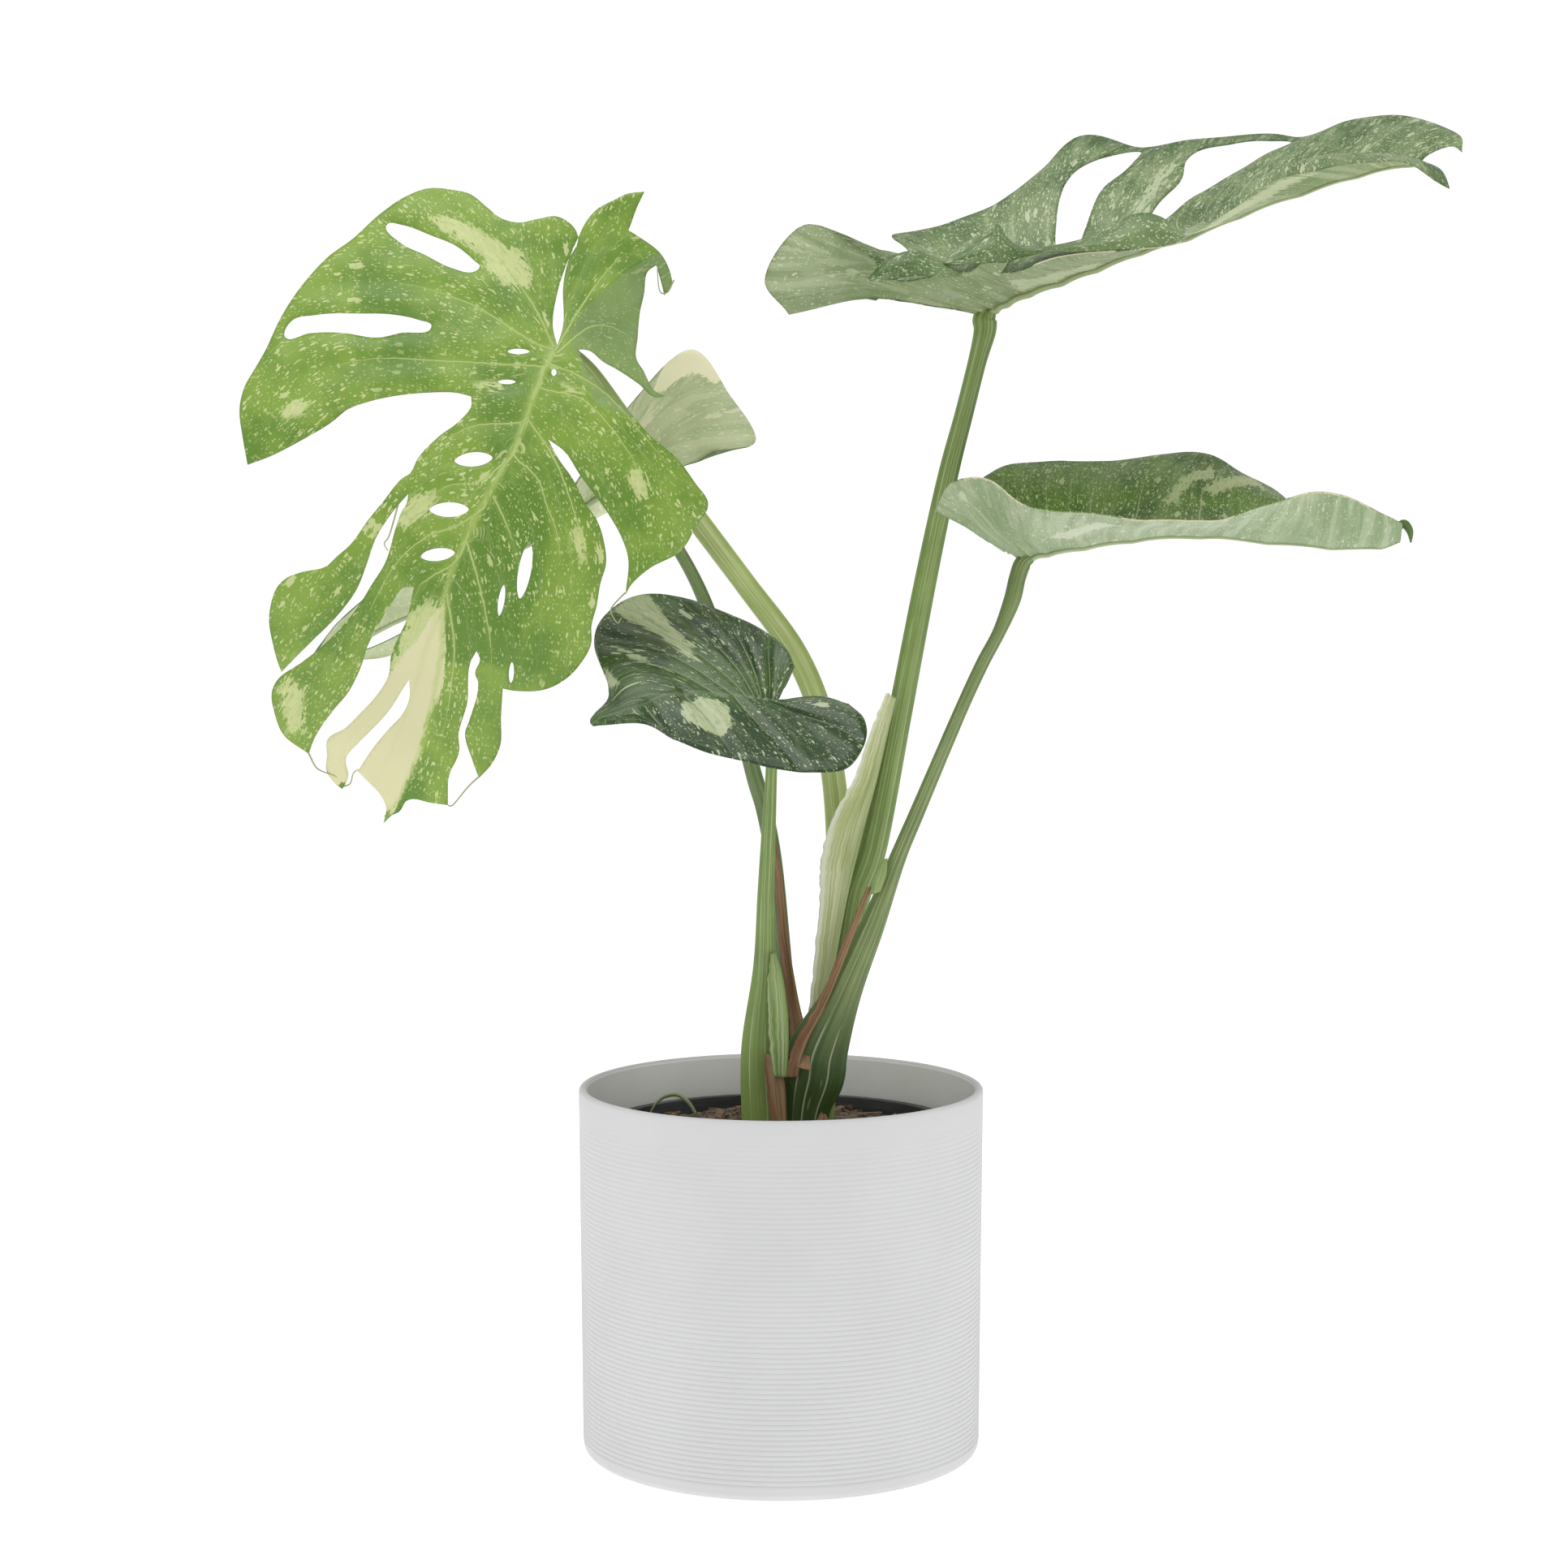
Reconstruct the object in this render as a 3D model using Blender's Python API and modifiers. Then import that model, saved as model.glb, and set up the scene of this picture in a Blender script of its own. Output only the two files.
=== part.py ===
"""Potted monstera with five leaves, in a ribbed white cover pot.

Metres, +Z up. The origin is the centre of the pot's flat underside and -Y is the front.
The plant stands in its own potting mix inside a thin nursery pot, which stands in the cover pot.
Stalk and leaf points are written in millimetres, because that is how a plant is measured.
"""

import math

import bpy
import numpy as np
from mathutils.geometry import delaunay_2d_cdt

# Driving dimensions.
MM = 0.001
CLEARANCE = 0.3 * MM
POT_HEIGHT = 0.200
POT_RIM_RADIUS = 0.110
POT_FOOT_RADIUS = 0.1084
POT_WALL = 0.0045
POT_FLOOR = 0.006
POT_EDGE = 0.005
NURSERY_HEIGHT = 0.172
NURSERY_RIM_RADIUS = 0.0985
NURSERY_FOOT_RADIUS = 0.080
NURSERY_WALL = 0.0012
SOIL_TOP = 0.173
SOIL_MOUND = 0.004
SOCKET_DEPTH = 0.012
BLADE_THICKNESS = 0.0010
SHEATH_THICKNESS = 0.0008
LEAF_GRID = 15.0
TURN_STEPS = 40

MATERIALS = {
    "white_ceramic": ((0.68, 0.68, 0.69), 0.55),
    "nursery_plastic": ((0.045, 0.047, 0.05), 0.5),
    "potting_mix": ((0.035, 0.022, 0.014), 0.95),
    "leaf_bright": ((0.20, 0.36, 0.05), 0.42),
    "leaf_mid": ((0.17, 0.27, 0.10), 0.42),
    "leaf_dark": ((0.06, 0.16, 0.03), 0.40),
    "leaf_grey": ((0.07, 0.15, 0.07), 0.40),
    "stalk_green": ((0.24, 0.38, 0.10), 0.45),
    "sheath_cream": ((0.62, 0.66, 0.38), 0.55),
    "dry_sheath": ((0.24, 0.12, 0.06), 0.8),
    "sprout_green": ((0.30, 0.42, 0.20), 0.5),
}

for old in list(bpy.data.objects):
    bpy.data.objects.remove(old, do_unlink=True)

plant = bpy.data.collections.new("potted_monstera")
cutters = bpy.data.collections.new("cutters")
bpy.context.scene.collection.children.link(plant)
bpy.context.scene.collection.children.link(cutters)
cutters.hide_render = True

finish = {}
for title, (colour, roughness) in MATERIALS.items():
    material = bpy.data.materials.new(title)
    material.use_nodes = True
    shader = material.node_tree.nodes["Principled BSDF"]
    shader.inputs["Base Color"].default_value = (*colour, 1.0)
    shader.inputs["Roughness"].default_value = roughness
    shader.inputs["Metallic"].default_value = 0.0
    finish[title] = material


def add(name, mesh, material, home=plant):
    """A new object of this mesh in its collection, smooth with sharp corners kept."""
    mesh.materials.append(finish[material])
    mesh.shade_smooth()
    mesh.set_sharp_from_angle(angle=math.radians(40))
    piece = bpy.data.objects.new(name, mesh)
    home.objects.link(piece)
    return piece


def turned(name, profile, material):
    """A solid of revolution: the profile's (radius, height) points run down the outer side."""
    mesh = bpy.data.meshes.new(name)
    mesh.from_pydata([(r, 0, z) for r, z in profile], [(i, i + 1) for i in range(len(profile) - 1)], [])
    piece = add(name, mesh, material)
    screw = piece.modifiers.new("turn", "SCREW")
    screw.axis = "Z"
    screw.steps = screw.render_steps = TURN_STEPS
    screw.use_merge_vertices = True
    screw.merge_threshold = 0.00001
    screw.use_smooth_shade = True
    return piece


def curve_at(points, u):
    """A point on the smooth curve through evenly numbered points, where u runs from 0 to their last index."""
    points = np.asarray(points, float)
    last = len(points) - 1
    i = int(min(max(math.floor(u), 0), last - 1)) if last > 0 else 0
    if last == 0:
        return points[0]
    f = u - i
    p1, p2 = points[i], points[i + 1]
    p0 = points[i - 1] if i > 0 else 2 * p1 - p2
    p3 = points[i + 2] if i + 2 <= last else 2 * p2 - p1
    return 0.5 * (2 * p1 + (p2 - p0) * f + (2 * p0 - 5 * p1 + 4 * p2 - p3) * f**2 + (3 * p1 - p0 - 3 * p2 + p3) * f**3)


# ---------------------------------------------------------------- pots and potting mix

# The cover pot is an open cylinder with a rounded rim and a small rounded foot edge.
inner = POT_RIM_RADIUS - POT_WALL
lip = POT_WALL / 2
pot_profile = [(0.0, POT_FLOOR), (inner - 0.012, POT_FLOOR), (inner - 0.003, POT_FLOOR + 0.003)]
pot_profile += [(inner - 0.001, POT_FLOOR + 0.012), (inner, POT_HEIGHT - 0.03)]
for step in range(7):
    angle = math.pi * step / 6
    pot_profile.append((POT_RIM_RADIUS - lip - lip * math.cos(angle), POT_HEIGHT - lip + lip * math.sin(angle)))
pot_profile += [(POT_RIM_RADIUS, POT_HEIGHT - 0.015), (POT_RIM_RADIUS - 0.0006, POT_HEIGHT - 0.017)]
pot_profile.append((POT_FOOT_RADIUS, POT_EDGE + 0.003))
for step in range(1, 4):
    angle = math.pi / 2 * step / 3
    pot_profile.append((POT_FOOT_RADIUS - POT_EDGE * (1 - math.cos(angle)), POT_EDGE * (1 - math.sin(angle))))
pot_profile.append((0.0, 0.0))
turned("cover_pot", pot_profile, "white_ceramic")

# The nursery pot is a thin tapered shell with a rolled rim, standing on the cover pot's floor.
foot = POT_FLOOR + CLEARANCE
top = foot + NURSERY_HEIGHT
wall = NURSERY_WALL
nursery_profile = [
    (0.0, foot + wall),
    (NURSERY_FOOT_RADIUS - wall, foot + wall),
    (NURSERY_RIM_RADIUS - 0.004 - wall, top - 0.012),
    (NURSERY_RIM_RADIUS - 0.004 - wall, top),
    (NURSERY_RIM_RADIUS, top),
    (NURSERY_RIM_RADIUS, top - 0.010),
    (NURSERY_RIM_RADIUS - 0.004, top - 0.0101),
    (NURSERY_FOOT_RADIUS, foot),
    (0.0, foot),
]
turned("nursery_pot", nursery_profile, "nursery_plastic")

# The potting mix fills the nursery pot up to a slightly domed surface.
bed = foot + wall + CLEARANCE
soil_profile = [(0.0, SOIL_TOP + SOIL_MOUND)]
for share in (0.3, 0.55, 0.8):
    height = SOIL_TOP + SOIL_MOUND * (1 - share**2) + 0.0008 * math.cos(9 * share)
    soil_profile.append((share * (NURSERY_RIM_RADIUS - 0.006), height))
soil_profile += [
    (NURSERY_RIM_RADIUS - 0.004 - wall - CLEARANCE, SOIL_TOP - 0.001),
    (NURSERY_RIM_RADIUS - 0.004 - wall - CLEARANCE, top - 0.013),
    (NURSERY_FOOT_RADIUS - wall - CLEARANCE - 0.0004, bed),
    (0.0, bed),
]
soil = turned("potting_mix", soil_profile, "potting_mix")

# ---------------------------------------------------------------- leaf stalks


def stalk(name, rings, material, sides=10, home=plant):
    """A stalk lofted through rings of (x, y, z, width, depth), all in millimetres."""
    rings = np.asarray(rings, float)
    count = max(12, 2 * len(rings) - 2)
    rows = [curve_at(rings, (len(rings) - 1) * k / count) for k in range(count + 1)]
    points = []
    for k, row in enumerate(rows):
        ahead = rows[min(k + 1, count)][:3] - rows[max(k - 1, 0)][:3]
        ahead /= np.linalg.norm(ahead)
        side = np.cross((0.0, 1.0, 0.0), ahead)
        side /= np.linalg.norm(side)
        front = np.cross(ahead, side)
        for j in range(sides):
            angle = 2 * math.pi * j / sides
            spot = row[:3] + side * math.cos(angle) * row[3] / 2 + front * math.sin(angle) * row[4] / 2
            points.append(spot * MM)
    faces = [tuple(reversed(range(sides)))]
    for k in range(count):
        for j in range(sides):
            a, b = k * sides + j, k * sides + (j + 1) % sides
            faces.append((a, b, b + sides, a + sides))
    faces.append(tuple(range(count * sides, (count + 1) * sides)))
    mesh = bpy.data.meshes.new(name)
    mesh.from_pydata(points, [], faces)
    return add(name, mesh, material, home)


# Each stalk rises from its socket in the potting mix to just under its blade.
SOIL_Z = 1000 * (SOIL_TOP + SOIL_MOUND) - 1000 * SOCKET_DEPTH
STALKS = {
    "stalk_left": [
        (20, 17, SOIL_Z, 15, 14), (23, 17, 200, 16, 14), (28, 20, 236, 15, 14), (31, 26, 280, 14, 13),
        (32, 30, 324, 14, 13), (29, 31, 365, 13, 13), (22, 29, 401, 13, 12), (7, 25, 436, 13, 12),
        (-19, 15, 472, 12, 12), (-45, 3, 507, 12, 11), (-64, -4, 533, 11, 11), (-84, -16, 561, 10, 10),
        (-100, -28, 583, 10, 10), (-110, -37, 593, 9, 9), (-114, -41, 596, 8, 8),
    ],
    "stalk_upper_right": [
        (18, -2, SOIL_Z, 15, 13), (20, -2, 200, 17, 14), (26, -2, 230, 16, 14), (35, 0, 270, 14, 13),
        (43, 2, 305, 13, 13), (52, 3, 332, 12, 12), (65, 7, 402, 12, 12), (78, 11, 472, 12, 11),
        (90, 13, 529, 11, 11), (99, 15, 564, 10, 10), (106, 16, 592, 10, 10), (110, 16, 608, 11, 11),
        (110, 16, 614, 13, 13),
    ],
    "stalk_lower_right": [
        (10, -20, SOIL_Z, 17, 12), (12, -21, 190, 20, 13), (19, -25, 221, 22, 14), (34, -26, 256, 17, 13),
        (49, -26, 291, 13, 11), (62, -25, 326, 9, 9), (73, -24, 352, 8, 8), (95, -24, 404, 7, 7),
        (107, -22, 430, 7, 7), (116, -21, 447, 7, 7), (123, -20, 464, 8, 8), (126, -18, 476, 8, 8),
        (128, -17, 482, 9, 9),
    ],
    "stalk_front": [
        (-11, -17, SOIL_Z, 19, 12), (-11, -17, 187, 21, 13), (-12, -19, 224, 18, 12), (-9, -25, 268, 12, 10),
        (-8, -32, 309, 9, 9), (-6, -44, 354, 6, 6), (-5, -51, 376, 5, 5), (-4, -60, 405, 5, 5),
    ],
    "stalk_back": [
        (-1, 15, SOIL_Z, 12, 12), (2, 14, 200, 12, 12), (3, 13, 237, 10, 10), (0, 12, 282, 9, 9),
        (-4, 11, 322, 9, 9), (-9, 12, 349, 9, 9), (-14, 13, 366, 9, 9), (-21, 17, 392, 8, 8),
        (-28, 22, 419, 8, 8), (-37, 28, 450, 8, 8), (-50, 34, 480, 7, 7), (-73, 48, 516, 7, 7),
        (-83, 56, 526, 7, 7),
    ],
}
for title, rings in STALKS.items():
    stalk(title, rings, "stalk_green")
    # Its socket follows the stalk's foot, a clearance wider all round.
    x, y, z, width, depth = rings[0]
    x2, y2, z2, width2, depth2 = rings[1]
    gap = 2.4
    low = (x, y, z - 0.3, width + gap, depth + gap)
    high = (x2, y2, z2, max(width, width2) + gap, max(depth, depth2) + gap)
    cutter = stalk("socket_" + title, [low, high], "potting_mix", 8, cutters)
    cutter.hide_render = True
    cutter.display_type = "WIRE"
    cut = soil.modifiers.new("socket_" + title, "BOOLEAN")
    cut.operation = "DIFFERENCE"
    cut.object = cutter

# ---------------------------------------------------------------- leaf blades and sheaths


def densified(loop, step):
    """The closed outline with its long sides divided, so that no side is much over the step."""
    out = []
    for (x1, y1), (x2, y2) in zip(loop, loop[1:] + loop[:1]):
        parts = max(1, round(math.hypot(x2 - x1, y2 - y1) / step))
        out += [(x1 + (x2 - x1) * k / parts, y1 + (y2 - y1) * k / parts) for k in range(parts)]
    return out


def inside(x, y, loop):
    odd = False
    for (x1, y1), (x2, y2) in zip(loop, loop[1:] + loop[:1]):
        if (y1 > y) != (y2 > y) and x < x1 + (x2 - x1) * (y - y1) / (y2 - y1):
            odd = not odd
    return odd


def near_edge(x, y, loop, reach):
    for (x1, y1), (x2, y2) in zip(loop, loop[1:] + loop[:1]):
        length = (x2 - x1) ** 2 + (y2 - y1) ** 2
        share = min(1, max(0, ((x - x1) * (x2 - x1) + (y - y1) * (y2 - y1)) / length))
        if math.hypot(x - x1 - share * (x2 - x1), y - y1 - share * (y2 - y1)) < reach:
            return True
    return False


def blade(name, outline, holes, place, material, grid=LEAF_GRID, thickness=BLADE_THICKNESS):
    """A thin blade: the flat outline and its holes are meshed, bent into place and given a thickness."""
    loops = [densified(outline, grid)] + [densified(hole, grid) for hole in holes]
    flat, sides = [], []
    for loop in loops:
        start = len(flat)
        flat += loop
        sides += [(start + k, start + (k + 1) % len(loop)) for k in range(len(loop))]
    lows, highs = np.min(loops[0], axis=0), np.max(loops[0], axis=0)
    row = 0
    y = lows[1] + grid / 2
    while y < highs[1]:
        x = lows[0] + grid / 2 * (1 + row % 2)
        while x < highs[0]:
            solid = inside(x, y, loops[0]) and not any(inside(x, y, hole) for hole in loops[1:])
            if solid and not any(near_edge(x, y, loop, 0.55 * grid) for loop in loops):
                flat.append((x, y))
            x += grid
        y += grid * 0.87
        row += 1
    spots, _, faces, _, _, _ = delaunay_2d_cdt(flat, sides, [], 0, 1e-5)
    kept = []
    for face in faces:
        x, y = (sum(spots[i][axis] for i in face) / 3 for axis in (0, 1))
        if inside(x, y, loops[0]) and not any(inside(x, y, hole) for hole in loops[1:]):
            kept.append(tuple(face))
    used = sorted({i for face in kept for i in face})
    renumber = {old: new for new, old in enumerate(used)}
    mesh = bpy.data.meshes.new(name)
    points = [np.asarray(place(spots[i][0], spots[i][1])) * MM for i in used]
    mesh.from_pydata(points, [], [tuple(renumber[i] for i in face) for face in kept])
    piece = add(name, mesh, material)
    shell = piece.modifiers.new("thickness", "SOLIDIFY")
    shell.thickness = thickness
    shell.offset = 0.0
    return piece


STEP, REACH = 30.0, 100.0


def vein_place(midrib, far, near):
    """Places flat points on the surface carried by the side veins.

    Along the flat x axis the veins leave the midrib one STEP apart. Across it, the far side's veins
    run out to -REACH and the near side's to +REACH. Each vein is its points after the midrib.
    """
    fans = [[[root] + list(vein) for root, vein in zip(midrib, side)] for side in (far, near)]
    fans = [np.asarray(fan, float) for fan in fans]

    def place(x, y):
        fan = fans[1 if y >= 0 else 0]
        across = min(1.0, abs(y) / REACH) * (fan.shape[1] - 1)
        along = min(max(x / STEP, 0.0), fan.shape[0] - 1.0)
        return curve_at([curve_at(fan[:, k], along) for k in range(fan.shape[1])], across)

    return place


def vein_outline(count, far_slits=(), near_slits=()):
    """The flat outline round that many veins, with each slit (place, inner end, half width) cut in from the edge."""
    end = (count - 1) * STEP
    outline = [(0.0, REACH)]
    for where, deep, half in near_slits:
        x = where * STEP
        outline += [(x - half, REACH), (x - half * 0.7, deep * REACH), (x + half * 0.7, deep * REACH), (x + half, REACH)]
    outline += [(end, REACH), (end, -REACH)]
    for where, deep, half in reversed(far_slits):
        x = where * STEP
        outline += [(x + half, -REACH), (x + half * 0.7, -deep * REACH), (x - half * 0.7, -deep * REACH), (x - half, -REACH)]
    outline.append((0.0, -REACH))
    # The notch over the stalk keeps the two basal lobes apart.
    outline += [(0.0, -4.0), (3.0, 0.0), (0.0, 4.0)]
    return outline


# Left leaf: large, cut into lobes, hanging to face the front. Its plane has the midrib along the
# first axis, from the stalk to the tip, and the width along the second, towards the left margin.
LEFT_JOINT = np.array([-118.0, -50.0, 596.0])
LEFT_ALONG = np.array([-0.341, 0.0, -0.940])
LEFT_ACROSS = np.array([-0.940, 0.0, 0.341])


def left_place(a, c):
    arch = -35.0 * math.sin(math.pi * min(max(a / 265.0, -0.3), 1.0))
    droop = 20.0 * (c / 110.0) ** 2
    return LEFT_JOINT + LEFT_ALONG * a + LEFT_ACROSS * c + np.array([0.0, arch + droop, 0.0])


LEFT_LOBES = {
    "upper left": [
        (-59, 11), (-66, 23), (-61, 33), (-56, 41), (-55, 51), (-58, 60), (-62, 72), (-61, 81), (-57, 94),
        (-48, 104), (-36, 112), (-19, 121), (-5, 130), (12, 137), (35, 142),
    ],
    "third left": [
        (50, 143), (64, 145), (74, 146), (86, 144), (99, 137), (111, 129), (102, 118), (90, 106), (76, 95),
        (66, 89), (58, 79), (49, 64), (43, 51), (39, 39), (38, 31), (43, 29),
    ],
    "bridge": [(52, 32), (63, 39), (77, 45), (86, 46), (90, 49)],
    "fourth left": [
        (104, 54), (115, 58), (130, 62), (139, 67), (146, 71), (153, 82), (159, 89), (165, 92), (176, 92),
        (184, 90), (196, 83), (206, 76), (196, 71), (186, 66), (168, 57), (152, 52), (137, 51), (123, 51),
        (109, 48),
    ],
    "fifth left": [
        (96, 43), (101, 42), (106, 43), (113, 43), (133, 42), (146, 45), (159, 48), (175, 54), (188, 61),
        (197, 67), (211, 77), (219, 78), (229, 73), (238, 65), (243, 50), (233, 49), (216, 44), (203, 39),
        (190, 37), (177, 37), (165, 35), (151, 32), (142, 29), (140, 24),
    ],
    "sixth left": [
        (157, 22), (166, 23), (177, 24), (188, 22), (201, 25), (212, 30), (222, 35), (231, 42), (240, 40),
        (248, 38), (252, 33), (254, 27), (247, 26), (238, 30), (227, 26), (219, 22), (208, 17), (198, 14),
        (193, 13), (186, 11), (195, 8), (205, 9), (214, 13), (227, 18), (234, 20), (242, 22),
    ],
    "tip": [
        (246, 14), (249, 8), (255, 2), (264, 1), (258, -2), (255, -5), (248, -7), (246, -10), (245, -18),
        (243, -28), (228, -24), (213, -25), (205, -22), (187, -21), (167, -16), (160, -17), (163, -20),
    ],
    "fifth right": [
        (171, -20), (175, -23), (196, -25), (203, -25), (215, -33), (223, -39), (213, -43), (202, -44),
        (189, -40), (174, -36),
    ],
    "third right": [
        (173, -42), (167, -56), (159, -64), (149, -69), (137, -71), (128, -68), (117, -67), (106, -65),
        (95, -64), (85, -59), (76, -52), (70, -44), (60, -33), (53, -23), (45, -14),
    ],
    "second right": [
        (48, -24), (57, -36), (67, -51), (73, -59), (80, -67), (89, -74), (107, -79), (101, -80), (90, -86),
        (76, -98), (61, -101), (49, -103), (41, -93), (32, -80), (25, -62), (17, -46), (11, -31), (4, -19),
    ],
    "first right": [
        (-4, -12), (-5, -17), (-2, -26), (-1, -34), (2, -47), (6, -57), (4, -62), (3, -56), (-5, -47),
        (-10, -41), (-20, -38), (-35, -34), (-44, -33), (-55, -31), (-60, -34), (-47, -43), (-52, -45),
        (-59, -42), (-67, -33), (-71, -20), (-72, -14), (-85, -14), (-94, -15), (-90, -7), (-85, -2),
        (-77, 4), (-68, 7), (-60, 8), (-45, 7), (-28, 6), (-13, 0), (-2, -1), (-11, 5), (-28, 9), (-45, 10),
    ],
}
LEFT_HOLES = [
    [(-31, 107), (-34, 99), (-34, 83), (-33, 68), (-29, 56), (-27, 52), (-23, 54), (-21, 65), (-23, 82), (-25, 97)],
    [(11, 64), (10, 72), (12, 86), (17, 102), (26, 125), (33, 136), (42, 136), (36, 124), (30, 106), (26, 88), (20, 78)],
    [(73, 26), (66, 21), (64, 10), (71, 15)],
    [(101, 29), (94, 22), (93, 12), (100, 18)],
    [(125, 25), (118, 20), (116, 11), (123, 16)],
    [(100, -23), (112, -22), (125, -26), (122, -32), (110, -29)],
]
left_outline = [point for lobe in LEFT_LOBES.values() for point in lobe]
blade("leaf_left", left_outline, LEFT_HOLES, left_place, "leaf_bright", grid=16.0)

# Upper right leaf: split to the midrib, held out sideways and cupped, its near lobes curling over.
UPPER_MIDRIB = [
    (109, 16, 617), (112, 16, 618), (116, 15, 620), (122, 14, 623), (134, 12, 628), (151, 10, 634),
    (170, 8, 641), (194, 6, 650), (218, 4, 657), (246, 2, 669), (278, 0, 680), (308, 0, 689), (336, 0, 695),
    (354, 0, 697),
]
UPPER_FAR = [
    [(98, 17, 624), (80, 18, 640), (52, 18, 652)],
    [(100, 22, 627), (84, 32, 644), (72, 40, 650)],
    [(104, 30, 634), (84, 52, 652), (62, 74, 665)],
    [(114, 34, 638), (102, 56, 656), (92, 78, 671)],
    [(128, 36, 645), (128, 62, 672), (131, 88, 690)],
    [(146, 34, 648), (150, 70, 688), (168, 104, 722)],
    [(164, 30, 652), (172, 66, 690), (204, 100, 716)],
    [(190, 28, 662), (208, 58, 690), (232, 95, 719)],
    [(214, 20, 668), (238, 46, 692), (270, 84, 721)],
    [(246, 16, 680), (264, 36, 700), (288, 62, 718)],
    [(280, 14, 692), (294, 30, 708), (312, 56, 725)],
    [(312, 14, 702), (326, 28, 713), (344, 54, 727)],
    [(342, 10, 702), (356, 24, 711), (367, 36, 716)],
    [(356, 5, 700), (361, 12, 703), (367, 20, 704)],
]
UPPER_NEAR = [
    [(86, -2, 620), (46, -40, 622), (4, -72, 612)],
    [(84, -8, 624), (44, -46, 634), (-8, -80, 630)],
    [(90, -16, 628), (50, -50, 642), (12, -84, 656)],
    [(96, -20, 632), (68, -44, 642), (40, -66, 646)],
    [(106, -22, 636), (88, -42, 643), (60, -60, 630)],
    [(124, -20, 638), (108, -44, 655), (88, -62, 634)],
    [(142, -18, 641), (130, -40, 645), (118, -60, 635)],
    [(164, -16, 645), (158, -40, 650), (148, -56, 643)],
    [(188, -18, 653), (184, -46, 664), (178, -58, 646)],
    [(214, -16, 657), (210, -34, 658), (208, -47, 651)],
    [(244, -12, 676), (238, -26, 676), (232, -38, 668)],
    [(276, -12, 692), (270, -26, 694), (266, -40, 686)],
    [(316, -10, 700), (318, -22, 698), (322, -34, 694)],
    [(346, -8, 696), (349, -20, 690), (350, -32, 679)],
]
blade(
    "leaf_upper_right",
    vein_outline(len(UPPER_MIDRIB), far_slits=[(6.0, 0.33, 12.0), (7.6, 0.3, 12.0), (11.6, 0.55, 8.0)],
                 near_slits=[(5.6, 0.5, 5.0), (9.3, 0.6, 8.0)]),
    [],
    vein_place(UPPER_MIDRIB, UPPER_FAR, UPPER_NEAR),
    "leaf_mid",
    grid=20.0,
)

# Lower right leaf: whole, level, and cupped like a shallow boat, so that its near side shows the underside.
LOWER_MIDRIB = [
    (127, -16, 486), (130, -17, 486), (134, -17, 487), (142, -18, 489), (161, -20, 492), (186, -22, 496),
    (222, -24, 498), (258, -26, 495), (291, -28, 492), (317, -30, 492), (327, -32, 495),
]
LOWER_FAR = [
    [(118, -4, 497), (110, 10, 516), (108, 22, 528)],
    [(124, 2, 500), (116, 20, 519), (114, 38, 532)],
    [(132, 5, 503), (128, 26, 523), (129, 50, 538)],
    [(144, 8, 505), (145, 30, 525), (151, 57, 540)],
    [(166, 8, 507), (172, 34, 526), (183, 63, 539)],
    [(192, 8, 510), (200, 36, 529), (214, 66, 543)],
    [(226, 6, 512), (232, 32, 529), (242, 60, 541)],
    [(260, 0, 506), (263, 22, 520), (268, 46, 525)],
    [(291, -10, 500), (291, 8, 508), (292, 28, 509)],
    [(316, -22, 498), (314, -11, 503), (312, 4, 504)],
    [(327, -30, 505), (327, -28, 505), (327, -25, 505)],
]
LOWER_NEAR = [
    [(112, -30, 494), (96, -43, 504), (80, -54, 512)],
    [(114, -36, 498), (100, -52, 512), (88, -68, 525)],
    [(120, -42, 499), (112, -60, 513), (106, -79, 528)],
    [(132, -42, 496), (128, -64, 504), (126, -85, 515)],
    [(156, -42, 498), (155, -66, 504), (156, -88, 511)],
    [(184, -44, 501), (184, -66, 503), (187, -88, 506)],
    [(222, -44, 503), (223, -64, 504), (225, -84, 507)],
    [(258, -42, 500), (260, -60, 508), (262, -76, 519)],
    [(290, -42, 498), (290, -56, 508), (290, -66, 520)],
    [(317, -38, 496), (317, -45, 503), (315, -50, 510)],
    [(327, -34, 497), (327, -36, 501), (327, -38, 505)],
]
blade(
    "leaf_lower_right",
    vein_outline(len(LOWER_MIDRIB)),
    [],
    vein_place(LOWER_MIDRIB, LOWER_FAR, LOWER_NEAR),
    "leaf_dark",
    grid=27.0,
)

# Front leaf: small, whole and heart-shaped, tilted towards the front.
FRONT_MIDRIB = [
    (-3, -63, 411), (-6, -63, 412), (-10, -64, 413), (-15, -65, 414), (-22, -67, 415), (-35, -70, 416),
    (-47, -73, 416), (-60, -77, 415), (-70, -80, 411), (-82, -83, 407), (-97, -86, 402),
]
FRONT_FAR = [
    [(0, -60, 417), (4, -56, 424), (7, -52, 430)],
    [(-3, -55, 421), (0, -48, 431), (3, -40, 439)],
    [(-9, -52, 426), (-8, -42, 437), (-6, -29, 446)],
    [(-17, -50, 430), (-19, -34, 444), (-21, -16, 454)],
    [(-29, -48, 434), (-36, -29, 450), (-45, -6, 463)],
    [(-45, -49, 436), (-56, -29, 452), (-68, -4, 467)],
    [(-60, -53, 435), (-71, -33, 450), (-84, -9, 464)],
    [(-72, -62, 430), (-83, -43, 442), (-96, -22, 453)],
    [(-79, -70, 421), (-88, -56, 431), (-98, -42, 440)],
    [(-86, -78, 410), (-87, -72, 413), (-89, -66, 417)],
    [(-98, -85, 403), (-98, -84, 404), (-98, -83, 405)],
]
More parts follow.
